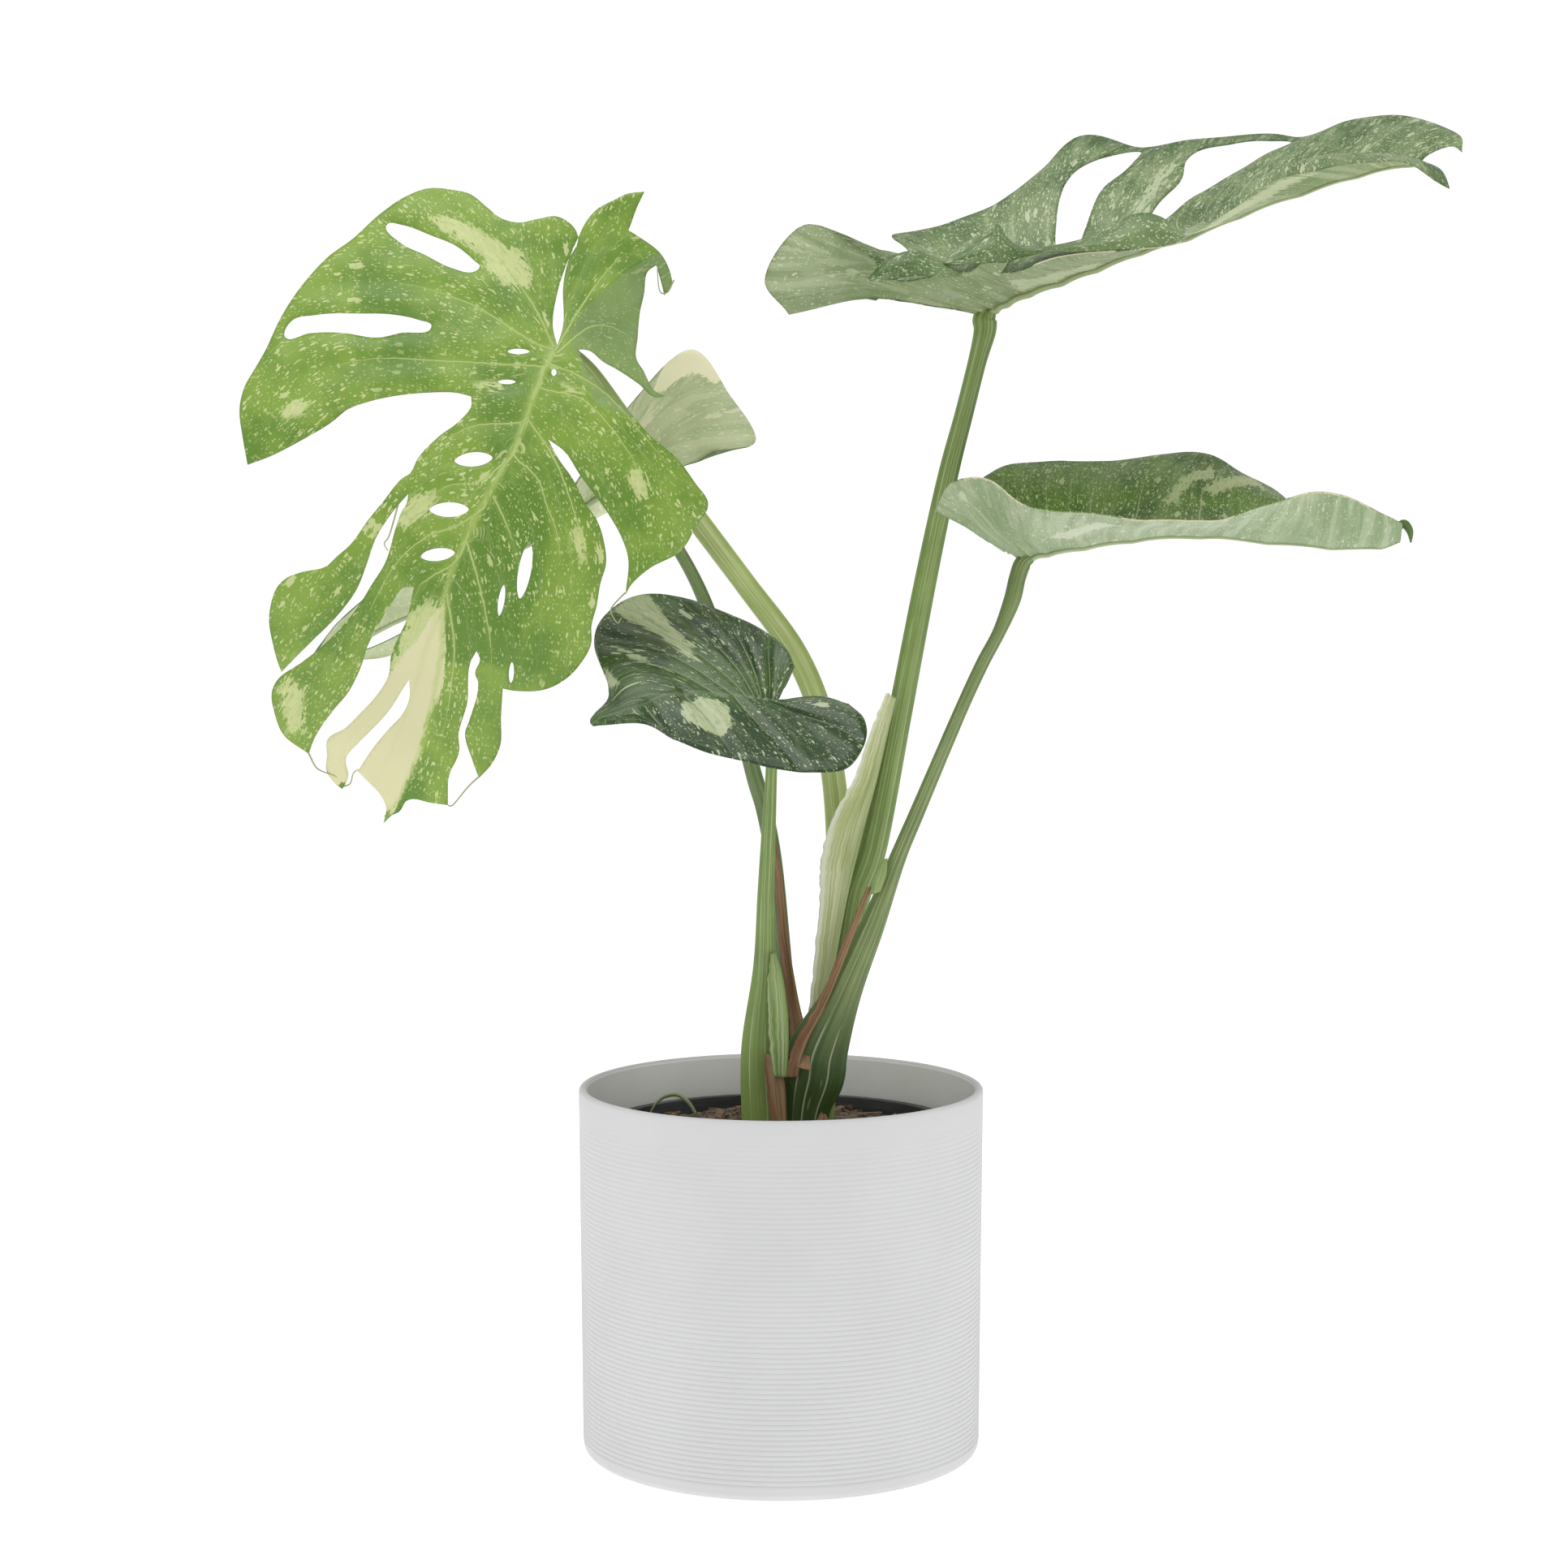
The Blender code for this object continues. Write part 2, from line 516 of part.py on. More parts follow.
FRONT_NEAR = [
    [(8, -63, 414), (22, -64, 415), (35, -70, 412)],
    [(11, -67, 411), (27, -71, 410), (43, -80, 404)],
    [(11, -73, 406), (27, -82, 401), (43, -94, 393)],
    [(4, -77, 404), (18, -90, 394), (33, -107, 381)],
    [(-11, -79, 404), (1, -94, 393), (14, -112, 380)],
    [(-24, -81, 405), (-14, -95, 394), (-3, -112, 382)],
    [(-36, -83, 406), (-28, -95, 396), (-20, -110, 385)],
    [(-51, -85, 406), (-45, -95, 398), (-38, -106, 389)],
    [(-65, -86, 405), (-60, -93, 400), (-55, -101, 396)],
    [(-79, -86, 405), (-75, -91, 404), (-70, -96, 403)],
    [(-97, -87, 402), (-96, -88, 402), (-96, -89, 402)],
]
blade(
    "leaf_front",
    vein_outline(len(FRONT_MIDRIB)),
    [],
    vein_place(FRONT_MIDRIB, FRONT_FAR, FRONT_NEAR),
    "leaf_grey",
    grid=30.0,
)

# Back leaf: whole, behind the left leaf, its underside towards the front.
BACK_MIDRIB = [
    (-84, 61, 530), (-87, 62, 528), (-92, 63, 525), (-100, 65, 520), (-119, 68, 507), (-140, 72, 494),
    (-156, 76, 484), (-193, 84, 461), (-235, 90, 441), (-262, 93, 426), (-270, 94, 421),
]
BACK_UP = [
    [(-70, 58, 532), (-55, 55, 536), (-38, 50, 544)],
    [(-62, 52, 542), (-40, 50, 548), (-14, 48, 550)],
    [(-72, 50, 552), (-52, 47, 568), (-28, 46, 575)],
    [(-84, 50, 550), (-66, 46, 575), (-50, 44, 600)],
    [(-104, 52, 534), (-92, 46, 552), (-84, 42, 568)],
    [(-135, 64, 499), (-131, 55, 504), (-126, 46, 509)],
    [(-153, 68, 488), (-148, 58, 494), (-142, 48, 499)],
    [(-190, 76, 467), (-187, 66, 472), (-184, 56, 476)],
    [(-232, 80, 454), (-228, 70, 462), (-222, 58, 470)],
    [(-260, 88, 432), (-257, 82, 438), (-253, 76, 444)],
    [(-270, 93, 422), (-269, 92, 423), (-268, 91, 424)],
]
BACK_LOW = [
    [(-78, 64, 530), (-68, 66, 532), (-56, 66, 538)],
    [(-82, 68, 525), (-76, 72, 524), (-68, 76, 526)],
    [(-88, 72, 519), (-84, 80, 514), (-80, 86, 514)],
    [(-98, 76, 516), (-97, 88, 513), (-98, 98, 512)],
    [(-120, 80, 503), (-121, 92, 499), (-124, 102, 497)],
    [(-141, 84, 492), (-143, 96, 491), (-146, 106, 490)],
    [(-160, 88, 479), (-166, 100, 474), (-172, 108, 469)],
    [(-200, 96, 447), (-206, 106, 439), (-212, 111, 434)],
    [(-238, 98, 433), (-242, 103, 429), (-245, 106, 426)],
    [(-263, 96, 423), (-264, 98, 421), (-265, 99, 420)],
    [(-270, 95, 420), (-270, 96, 419), (-270, 97, 418)],
]
blade(
    "leaf_back",
    vein_outline(len(BACK_MIDRIB)),
    [],
    vein_place(BACK_MIDRIB, BACK_UP, BACK_LOW),
    "leaf_grey",
    grid=30.0,
)


def strip(name, edges, material):
    """A papery strip between two edges, each row being its left and right point in millimetres."""
    rows = np.asarray(edges, float)

    def place(x, y):
        row = curve_at(rows, min(max(x / STEP, 0.0), len(rows) - 1.0))
        return row[0] + (row[1] - row[0]) * y / REACH

    end = (len(rows) - 1) * STEP
    outline = [(0.0, 0.0), (end, 0.0), (end, REACH), (0.0, REACH)]
    return blade(name, outline, [], place, material, grid=50.0, thickness=SHEATH_THICKNESS)


# The pale membranous sheath that the upper right stalk grew out of.
strip("sheath_upper_right", [
    [(52, -2, 413), (57, -3, 411)], [(45, 2, 394), (54, -3, 394)], [(34, 2, 368), (48, -5, 368)],
    [(24, 0, 346), (44, -7, 346)], [(20, -2, 322), (39, -8, 322)], [(19, -4, 300), (34, -9, 300)],
    [(16, -7, 260), (26, -10, 262)], [(12, -8, 222), (20, -11, 222)],
], "sheath_cream")
# Old sheaths, dried brown, that still cling at the foot of the stalks.
strip("dry_sheath_right", [
    [(44, -34, 310), (48, -35, 310)], [(33, -34, 284), (39, -35, 284)], [(21, -35, 254), (26, -36, 254)],
    [(7, -36, 228), (13, -37, 228)], [(0, -35, 210), (6, -36, 210)],
], "dry_sheath")
strip("dry_sheath_left", [
    [(-5, 4, 338), (-3, 4, 338)], [(-4, 3, 312), (1, 2, 312)], [(-3, 1, 280), (4, 0, 280)],
    [(-2, -4, 246), (6, -5, 246)], [(0, -9, 218), (8, -10, 222)],
], "dry_sheath")
strip("dry_sheath_front", [
    [(-9, -30, 222), (-2, -30, 222)], [(-8, -30, 206), (2, -31, 206)], [(-6, -30, 190), (3, -31, 190)],
    [(-3, -30, 179), (3, -31, 179)],
], "dry_sheath")

# A young shoot arching out of the potting mix by the left wall.
stalk("young_shoot", [
    (-48, 48, 177, 3, 3), (-55, 49, 184, 5, 2), (-64, 50, 185, 6, 2), (-73, 50, 178, 2, 2),
], "sprout_green", 6)
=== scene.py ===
"""The visual model of a potted monstera: ribbed cover pot, potting mix, stalks, sheaths and five leaves."""

import math

import bpy
import numpy as np
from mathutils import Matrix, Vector, noise
from mathutils.geometry import delaunay_2d_cdt


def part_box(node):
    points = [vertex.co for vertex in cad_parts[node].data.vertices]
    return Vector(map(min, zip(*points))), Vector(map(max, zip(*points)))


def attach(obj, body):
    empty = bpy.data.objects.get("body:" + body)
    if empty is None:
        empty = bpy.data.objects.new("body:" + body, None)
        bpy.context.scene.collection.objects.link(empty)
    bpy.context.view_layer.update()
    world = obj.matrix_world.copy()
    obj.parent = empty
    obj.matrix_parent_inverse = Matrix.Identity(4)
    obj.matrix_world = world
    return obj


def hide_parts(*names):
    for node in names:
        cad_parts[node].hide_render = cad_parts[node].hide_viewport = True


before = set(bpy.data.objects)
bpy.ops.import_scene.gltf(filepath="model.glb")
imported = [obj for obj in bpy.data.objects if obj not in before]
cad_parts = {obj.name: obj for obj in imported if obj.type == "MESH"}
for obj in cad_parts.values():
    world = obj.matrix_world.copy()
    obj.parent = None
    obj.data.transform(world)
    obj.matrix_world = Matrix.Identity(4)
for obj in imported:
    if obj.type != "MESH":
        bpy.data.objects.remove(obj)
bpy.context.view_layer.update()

# ---------------------------------------------------------------------------
# Cover pot. Slip-cast matt white ceramic: an open cylinder with fine ribs turned round its outside,
# a smooth band under the rounded rim and a small rounded foot edge.


class Wire:
    """A socket among a material's nodes. Operators on wires add Math nodes."""

    def __init__(self, tree, socket=None):
        self.tree, self.socket = tree, socket

    def node(self, kind, inputs=None, out=0, **settings):
        made = self.tree.nodes.new(kind)
        for key, value in settings.items():
            setattr(made, key, value)
        for key, value in (inputs or {}).items():
            if isinstance(value, Wire):
                self.tree.links.new(value.socket, made.inputs[key])
            else:
                made.inputs[key].default_value = value
        return Wire(self.tree, made.outputs[out])

    def math(self, operation, other):
        return self.node("ShaderNodeMath", {0: self, 1: other}, operation=operation)

    def __add__(self, other):
        return self.math("ADD", other)

    def __sub__(self, other):
        return self.math("SUBTRACT", other)

    def __mul__(self, other):
        return self.math("MULTIPLY", other)

    def __rsub__(self, other):
        return self.node("ShaderNodeMath", {0: other, 1: self}, operation="SUBTRACT")

    __radd__, __rmul__ = __add__, __mul__

    def either(self, other):
        return self.math("MAXIMUM", other)

    def part(self, index):
        """One of a vector's three numbers."""
        return self.node("ShaderNodeSeparateXYZ", {0: self}, out=index)

    def channel(self, index):
        """One of a colour's three numbers."""
        return self.node("ShaderNodeSeparateColor", {0: self}, out=index)

    def rise(self, low, high):
        """0 below low and 1 above high, easing between them."""
        sockets = {"Value": self, "From Min": low, "From Max": high}
        return self.node("ShaderNodeMapRange", sockets, interpolation_type="SMOOTHSTEP")

    def fall(self, low, high):
        return 1 - self.rise(low, high)

    def tint(self, first, second):
        """The colour from first to second as this wire goes from 0 to 1."""
        ends = {0: self, 6: first, 7: second}
        ends = {k: (*v, 1.0) if isinstance(v, tuple) else v for k, v in ends.items()}
        return self.node("ShaderNodeMix", ends, out=2, data_type="RGBA")

    def noise(self, scale, detail=3.0, rough=0.5, warp=0.0):
        sockets = {"Vector": self, "Scale": scale, "Detail": detail, "Roughness": rough, "Distortion": warp}
        return self.node("ShaderNodeTexNoise", sockets)

    def stretch(self, x, y, z=1.0):
        return self.node("ShaderNodeMapping", {"Vector": self, "Scale": (x, y, z)})


def srgb(red, green, blue):
    """A colour in the shader's linear numbers, from the 0 to 255 steps of a colour card."""
    return tuple(((c / 255 + 0.055) / 1.055) ** 2.4 for c in (red, green, blue))


def between(first, second, share):
    """A colour that share of the way from the first to the second."""
    return tuple(max(0.0, a + (b - a) * share) for a, b in zip(first, second))


def material(name, paint):
    """A Principled material, whose sockets are filled in by paint(start): a dict of values and wires."""
    made = bpy.data.materials.new(name)
    made.use_nodes = True
    tree = made.node_tree
    shader = tree.nodes["Principled BSDF"]
    for key, value in paint(Wire(tree)).items():
        if isinstance(value, Wire):
            tree.links.new(value.socket, shader.inputs[key])
        else:
            shader.inputs[key].default_value = (*value, 1.0) if isinstance(value, tuple) else value
    return made


def place_of(start):
    return start.node("ShaderNodeTexCoord", out=3)


def bumped(height, strength, depth):
    return height.node("ShaderNodeBump", {"Height": height, "Strength": strength, "Distance": depth})


def piece_of(name, points, faces, slots):
    mesh = bpy.data.meshes.new(name)
    mesh.from_pydata([tuple(p) for p in points], [], [tuple(int(i) for i in f) for f in faces])
    for slot in slots:
        mesh.materials.append(slot)
    piece = bpy.data.objects.new(name, mesh)
    bpy.context.scene.collection.objects.link(piece)
    return piece


def hold(piece, slot, *nodes):
    """The piece rides on the plant's one body and stands for those CAD nodes. The slot is not used."""
    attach(piece, "root")
    if nodes:
        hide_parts(*nodes)


def only(piece):
    for other in bpy.context.selected_objects:
        other.select_set(False)
    piece.select_set(True)
    bpy.context.view_layer.objects.active = piece


def smooth(piece, degrees):
    only(piece)
    bpy.ops.object.shade_smooth_by_angle(angle=math.radians(degrees), keep_sharp_edges=False)


def spun(name, profile, steps, slots):
    """A turned piece: the profile's (radius, height) points, from axis to axis, spun round the Z axis."""
    piece = piece_of(name, [(r, 0, z) for r, z in profile], [], slots)
    edges = [(i, i + 1) for i in range(len(profile) - 1)]
    piece.data.edges.add(len(edges))
    piece.data.edges.foreach_set("vertices", [i for edge in edges for i in edge])
    piece.data.update()
    only(piece)
    bpy.ops.object.mode_set(mode="EDIT")
    bpy.ops.mesh.select_all(action="SELECT")
    bpy.ops.mesh.spin(steps=steps, angle=2 * math.pi, center=(0, 0, 0), axis=(0, 0, 1))
    bpy.ops.mesh.select_all(action="SELECT")
    bpy.ops.mesh.remove_doubles(threshold=1e-6)
    bpy.ops.mesh.normals_make_consistent(inside=False)
    bpy.ops.object.mode_set(mode="OBJECT")
    return piece


def ceramic(start):
    spot = place_of(start)
    cloud = spot.noise(18.0, 3.0)
    grain = spot.noise(900.0, 2.0)
    white = cloud.rise(0.3, 0.7).tint(srgb(206, 206, 207), srgb(209, 209, 210))
    return {
        "Base Color": white,
        "Roughness": 0.5 + grain * 0.12,
        "Specular IOR Level": 0.35,
        "Normal": bumped(grain, 0.06, 0.0004),
    }


_, pot_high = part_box("cover_pot")
POT_R, POT_H = pot_high[0], pot_high[2]
POT_FOOT_R = POT_R - 0.0016
POT_WALL = 0.0045
POT_FLOOR = 0.006
RIBS = 67
RIB_LOW, RIB_HIGH = 0.006, POT_H - 0.0125
RIB_DEPTH = 0.00052
RIB_SHAPE = ((0.0, 0.0), (0.18, 0.55), (0.4, 0.96), (0.6, 1.0), (0.82, 0.6))

RIB_FADE = 6
RIM_STEPS, FOOT_STEPS, TURNS = 12, 8, 128
FOOT_ROUND = 0.005

inner = POT_R - POT_WALL
lip = POT_WALL / 2
profile = [(0.0, POT_FLOOR), (inner - 0.012, POT_FLOOR), (inner - 0.006, POT_FLOOR + 0.001)]
profile += [(inner - 0.002, POT_FLOOR + 0.005), (inner - 0.001, POT_FLOOR + 0.012), (inner, POT_H - 0.03)]
for step in range(RIM_STEPS + 1):
    angle = math.pi * step / RIM_STEPS
    profile.append((POT_R - lip - lip * math.cos(angle), POT_H - lip + lip * math.sin(angle)))
profile += [(POT_R, POT_H - 0.008), (POT_R - 0.0001, RIB_HIGH + 0.0004)]
for rib in range(RIBS):
    for share, proud in RIB_SHAPE:
        height = RIB_HIGH + (RIB_LOW - RIB_HIGH) * (rib + share) / RIBS
        taper = POT_R + (POT_FOOT_R - POT_R) * (POT_H - height) / POT_H
        deep = RIB_DEPTH * (0.5 + 0.5 * rib / RIBS) * min(1.0, (rib + 1) / RIB_FADE)
        profile.append((taper - deep * (1 - proud), height))
for step in range(FOOT_STEPS + 1):
    angle = math.pi / 2 * step / FOOT_STEPS
    inset = 0.0003 + FOOT_ROUND * (1 - math.cos(angle))
    profile.append((POT_FOOT_R - inset, FOOT_ROUND * (1 - math.sin(angle))))
profile += [(0.05, 0.0), (0.0, 0.0)]


# Inner glaze: glossier than the outside, and its white is painted far brighter than the outside's, as painted
# light that lifts the shade inside the pot.
def glaze_and_painted_light(start):
    cloud = place_of(start).noise(22.0, 3.0)
    return {
        "Base Color": cloud.rise(0.3, 0.7).tint(srgb(240, 241, 238), srgb(247, 247, 245)),
        "Roughness": 0.32 + cloud * 0.1,
        "Specular IOR Level": 0.4,
        "Normal": bumped(cloud, 0.03, 0.0005),
    }


finishes = [material("matt white ceramic", ceramic), material("white inner glaze with painted light", glaze_and_painted_light)]
pot = spun("cover_pot_ribbed", profile, TURNS, finishes)
for polygon in pot.data.polygons:
    middle = polygon.center
    if math.hypot(middle.x, middle.y) < inner + 0.0004 and middle.z > POT_FLOOR + 0.0001:
        polygon.material_index = 1
smooth(pot, 50)
hold(pot, "white_ceramic", "cover_pot")

# ---------------------------------------------------------------------------
# Nursery pot. Thin moulded dark grey plastic with a rolled rim and drain holes, standing inside the
# cover pot. Its plain shape is used as it is, with a scuffed plastic finish.


def grey_plastic(start):
    spot = place_of(start)
    scuff = spot.stretch(40.0, 40.0, 400.0).noise(1.0, 4.0)
    return {
        "Base Color": scuff.rise(0.35, 0.75).tint(srgb(52, 53, 54), srgb(74, 75, 76)),
        "Roughness": 0.42 + scuff * 0.25,
        "Normal": bumped(scuff, 0.1, 0.0004),
    }


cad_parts["nursery_pot"].data.materials.clear()
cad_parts["nursery_pot"].data.materials.append(material("dark nursery plastic", grey_plastic))

# ---------------------------------------------------------------------------
# Potting mix. Damp dark peat with crumbs, bark chips, pale fibres and a few bits of perlite,
# filling the nursery pot to a slightly domed surface.
MM = 0.001
SOIL_TOP, SOIL_DOME = 0.173, 0.004
SOIL_R = 0.0925
SOIL_FLOOR, SOIL_FLOOR_R = 0.0085, 0.078
CHIPS, FIBRES = 260, 90
dice = np.random.default_rng(11)


def peat(start):
    spot = place_of(start)
    clump = spot.noise(90.0, 6.0, 0.7)
    crumb = spot.noise(520.0, 4.0, 0.65)
    fleck = spot.node("ShaderNodeTexVoronoi", {"Vector": spot, "Scale": 420.0}, out=1)
    light = fleck.channel(0).rise(0.9, 0.97)
    earth = clump.rise(0.32, 0.72).tint(srgb(80, 73, 64), srgb(134, 124, 110))
    earth = (crumb.rise(0.5, 0.75) * 0.55).tint(earth, srgb(134, 121, 105))
    return {
        "Base Color": (light * 0.5).tint(earth, srgb(150, 128, 98)),
        "Roughness": 0.8 + crumb * 0.2,
        "Specular IOR Level": 0.25,
        "Normal": bumped(clump * 0.6 + crumb * 0.5, 0.9, 0.0025),
    }


def bark(start):
    spot = place_of(start)
    grain = spot.stretch(260.0, 900.0, 600.0).noise(1.0, 4.0)
    return {
        "Base Color": grain.rise(0.3, 0.7).tint(srgb(74, 56, 44), srgb(152, 126, 98)),
        "Roughness": 0.75 + grain * 0.2,
        "Normal": bumped(grain, 0.5, 0.001),
    }


RINGS, SPOKES = 74, 200
points, faces = [], []
for ring in range(1, RINGS + 1):
    for spoke in range(SPOKES):
        angle = 2 * math.pi * (spoke + 0.5 * (ring % 2)) / SPOKES
        radius = SOIL_R * (ring / RINGS) ** 0.72
        x, y = radius * math.cos(angle), radius * math.sin(angle)
        lumps = noise.fractal(Vector((x * 70, y * 70, 3.1)), 0.6, 2.2, 5) * 0.0016
        crumbs = noise.noise(Vector((x * 420, y * 420, 8.0))) * 0.0008
        edge = -0.002 * max(0.0, (radius / SOIL_R - 0.9) / 0.1)
        height = SOIL_TOP + SOIL_DOME * (1 - (radius / SOIL_R) ** 2) + lumps + crumbs + edge - 0.001
        points.append((x, y, height))
for radius, height in ((SOIL_R, 0.12), (SOIL_FLOOR_R, SOIL_FLOOR)):
    for spoke in range(SPOKES):
        angle = 2 * math.pi * (spoke + 0.5 * (RINGS % 2)) / SPOKES
        points.append((radius * math.cos(angle), radius * math.sin(angle), height))
points += [(0.0, 0.0, SOIL_TOP + SOIL_DOME - 0.001), (0.0, 0.0, SOIL_FLOOR)]
for ring in range(RINGS + 1):
    for spoke in range(SPOKES):
        after = (spoke + 1) % SPOKES
        a, b = ring * SPOKES + spoke, ring * SPOKES + after
        if ring == RINGS or ring % 2:
            faces += [(a, a + SPOKES, b + SPOKES), (a, b + SPOKES, b)]
        else:
            faces += [(a, a + SPOKES, b), (b, a + SPOKES, b + SPOKES)]
for spoke in range(SPOKES):
    after = (spoke + 1) % SPOKES
    faces.append((len(points) - 2, spoke, after))
    faces.append((len(points) - 1, (RINGS + 1) * SPOKES + after, (RINGS + 1) * SPOKES + spoke))
soil = piece_of("potting_mix_surface", points, faces, [material("damp peat", peat)])
smooth(soil, 180)
hold(soil, "potting_mix", "potting_mix")


def soil_height(x, y):
    return SOIL_TOP + SOIL_DOME * (1 - (x * x + y * y) / SOIL_R**2) - 0.0008


# Chips are flat broken cuboids, and fibres are thin bent tubes, all lying in the surface.
points, faces = [], []
CUBE = ((0, 1, 3, 2), (4, 6, 7, 5), (0, 4, 5, 1), (2, 3, 7, 6), (0, 2, 6, 4), (1, 5, 7, 3))
for chip in range(CHIPS):
    angle, radius = dice.uniform(0, 2 * math.pi), SOIL_R * 0.97 * math.sqrt(dice.uniform(0.02, 1))
    x, y = radius * math.cos(angle), radius * math.sin(angle)
    size = dice.uniform(0.6, 2.6) * MM
    half = np.array([size * dice.uniform(1, 2.4), size, size * dice.uniform(0.25, 0.6)])
    turn = dice.uniform(0, math.pi)
    tip = dice.uniform(-0.5, 0.5)
    start = len(points)
    for i in (-1, 1):
        for j in (-1, 1):
            for k in (-1, 1):
                corner = half * (i, j, k) * dice.uniform(0.6, 1.1, 3)
                u = corner[0] * math.cos(tip) - corner[2] * math.sin(tip)
                w = corner[0] * math.sin(tip) + corner[2] * math.cos(tip)
                across = corner[1]
                points.append((
                    x + u * math.cos(turn) - across * math.sin(turn),
                    y + u * math.sin(turn) + across * math.cos(turn),
                    soil_height(x, y) + w + half[2] * 0.6,
                ))
    faces += [tuple(start + i for i in face) for face in CUBE]


def tube(points, faces, path, radii, sides, flat=1.0, normals=None):
    """Adds a closed tube along the path to the lists, flattened along its up direction or the normals."""
    path = np.asarray(path, float)
    start, count = len(points), len(path)
    side = None
    for k in range(count):
        ahead = path[min(k + 1, count - 1)] - path[max(k - 1, 0)]
        ahead = ahead / np.linalg.norm(ahead)
        if side is None:
            side = np.cross(ahead, (0.3, 0.2, 1.0) if abs(ahead[2]) < 0.9 else (0.0, 1.0, 0.0))
        if normals is not None:
            side = np.cross(normals[k], ahead)
        side = side - ahead * np.dot(side, ahead)
        side = side / np.linalg.norm(side)
        up = np.cross(ahead, side)
        for j in range(sides):
            angle = 2 * math.pi * j / sides
            out = side * math.cos(angle) + flat * up * math.sin(angle)
            points.append(tuple(path[k] + radii[k] * out))
    for k in range(count - 1):
        for j in range(sides):
            a, b = start + k * sides + j, start + k * sides + (j + 1) % sides
            faces.append((a, b, b + sides, a + sides))
    faces.append(tuple(start + j for j in reversed(range(sides))))
    faces.append(tuple(start + (count - 1) * sides + j for j in range(sides)))


for fibre in range(FIBRES):
    angle, radius = dice.uniform(0, 2 * math.pi), SOIL_R * 0.93 * math.sqrt(dice.uniform(0.05, 1))
    x, y = radius * math.cos(angle), radius * math.sin(angle)
    heading, length = dice.uniform(0, 2 * math.pi), dice.uniform(5, 16) * MM
    lift = dice.uniform(0, 1) ** 3 * 5 * MM
    path = []
    for k in range(7):
        share = k / 6
        heading += dice.uniform(-0.35, 0.35)
        x, y = x + math.cos(heading) * length / 6, y + math.sin(heading) * length / 6
        path.append((x, y, soil_height(x, y) + 0.0006 + lift * math.sin(math.pi * share) * 0.7))
    if max(math.hypot(p[0], p[1]) for p in path) < SOIL_R * 0.985:
        tube(points, faces, path, [dice.uniform(0.15, 0.4) * MM] * 7, 5)
bits = piece_of("bark_and_fibre", points, faces, [material("bark and fibre", bark)])
hold(bits, "potting_mix")

# ---------------------------------------------------------------------------
# Leaf stalks. Five fleshy green petioles with fine lengthwise ridges, paler stripes and a painted highlight
# down their front, widening to clasping bases in the potting mix and swelling a little at the joint below
# each blade.


def curve_many(points, u):
    """Points on the smooth curves through the rows of points, one for each number in u."""
    points = np.concatenate([[2 * points[0] - points[1]], points, [2 * points[-1] - points[-2]]])
    i = np.clip(np.floor(u).astype(int), 0, len(points) - 4)
    f = (u - i).reshape(-1, *[1] * (points.ndim - 1))
    shares = (-f + 2 * f**2 - f**3, 2 - 5 * f**2 + 3 * f**3, f + 4 * f**2 - 3 * f**3, f**3 - f**2)
    if points.shape[1] == len(u) and points.ndim == 3:
        return 0.5 * sum(share[:, 0] * points[i + k, np.arange(len(u))] for k, share in enumerate(shares))
    return 0.5 * sum(share * points[i + k] for k, share in enumerate(shares))


def curve_rows(points, count, share=1.0):
    """Count + 1 evenly numbered points on the smooth curve through the points, up to that share of it."""
    points = np.asarray(points, float)
    return curve_many(points, (len(points) - 1) * share * np.arange(count + 1) / count)


def write_grain(piece, name, values):
    """Stores one number, or one vector, for each of the piece's points."""
    values = np.asarray(values, np.float32)
    if values.ndim == 1:
        piece.data.attributes.new(name, "FLOAT", "POINT").data.foreach_set("value", values)
    else:
        piece.data.attributes.new(name, "FLOAT_VECTOR", "POINT").data.foreach_set("vector", values.ravel())


def read_grain(start, name, out):
    """The stored values of that name: output 1 is the vector and 2 the number."""
    return start.node("ShaderNodeAttribute", out=out, attribute_name=name)


def stalk_paint(dark, light, stripe_and_highlight, foot, pinstripes=()):
    """Greens that drift along the fibres, with a painted highlight down the side that faces the front, and
    fine white lines at the pinstripes.
    """

    def paint(start):
        grain = read_grain(start, "grain", 1)
        sideways, facing, along = grain.part(0), grain.part(1), grain.part(2)
        spot = place_of(start)
        fibre = grain.stretch(7.0, 7.0, 0.5).noise(1.0, 4.0, 0.6)
        broad = grain.stretch(2.2, 2.2, 0.25).noise(1.0, 2.0)
        blotch = spot.noise(60.0, 3.0)
        green = (broad * 0.7 + blotch * 0.3).rise(0.34, 0.66).tint(dark, light)
        # Painted highlight: the side that faces the front is streaked towards the stripe colour, standing in
        # for light falling on it.
        pale = facing.rise(0.55, 1.0) * fibre.rise(0.42, 0.6) * 0.45
        lines = fibre.rise(0.6, 0.68) * 0.6
        skin = pale.either(lines).tint(green, stripe_and_highlight)
        base = along.fall(0.3, 1.2) * 0.85
        speck = grain.stretch(9.0, 9.0, 5.0).noise(1.0, 2.0)
        skin = (speck.rise(0.66, 0.72) * 0.35).tint(base.tint(skin, foot), stripe_and_highlight)
        for place in pinstripes:
            off = sideways - place
            faint = grain.stretch(0.5, 0.5, 1.6).noise(1.0, 2.0).rise(0.38, 0.5)
            line = (off * off).fall(0.0002, 0.0012) * facing.rise(-0.1, 0.1) * faint
            skin = (line * 0.6).tint(skin, between(stripe_and_highlight, (1.0, 1.0, 1.0), 0.3))
        return {
            "Base Color": skin,
            "Roughness": 0.4 + fibre * 0.15,
            "Specular IOR Level": 0.4,
            "Normal": bumped(fibre, 0.35, 0.0008),
        }

    return paint


def fibrous(name, dark, light, stripe_and_highlight, foot, pinstripes=()):
    """A finish of drawn-out green fibres, from four colours of the colour card."""
    return material(name, stalk_paint(srgb(*dark), srgb(*light), srgb(*stripe_and_highlight), srgb(*foot), pinstripes))


STALK_SIDES = 28
STALK_STEP = 2.5
STALK_GROOVE = 0.042


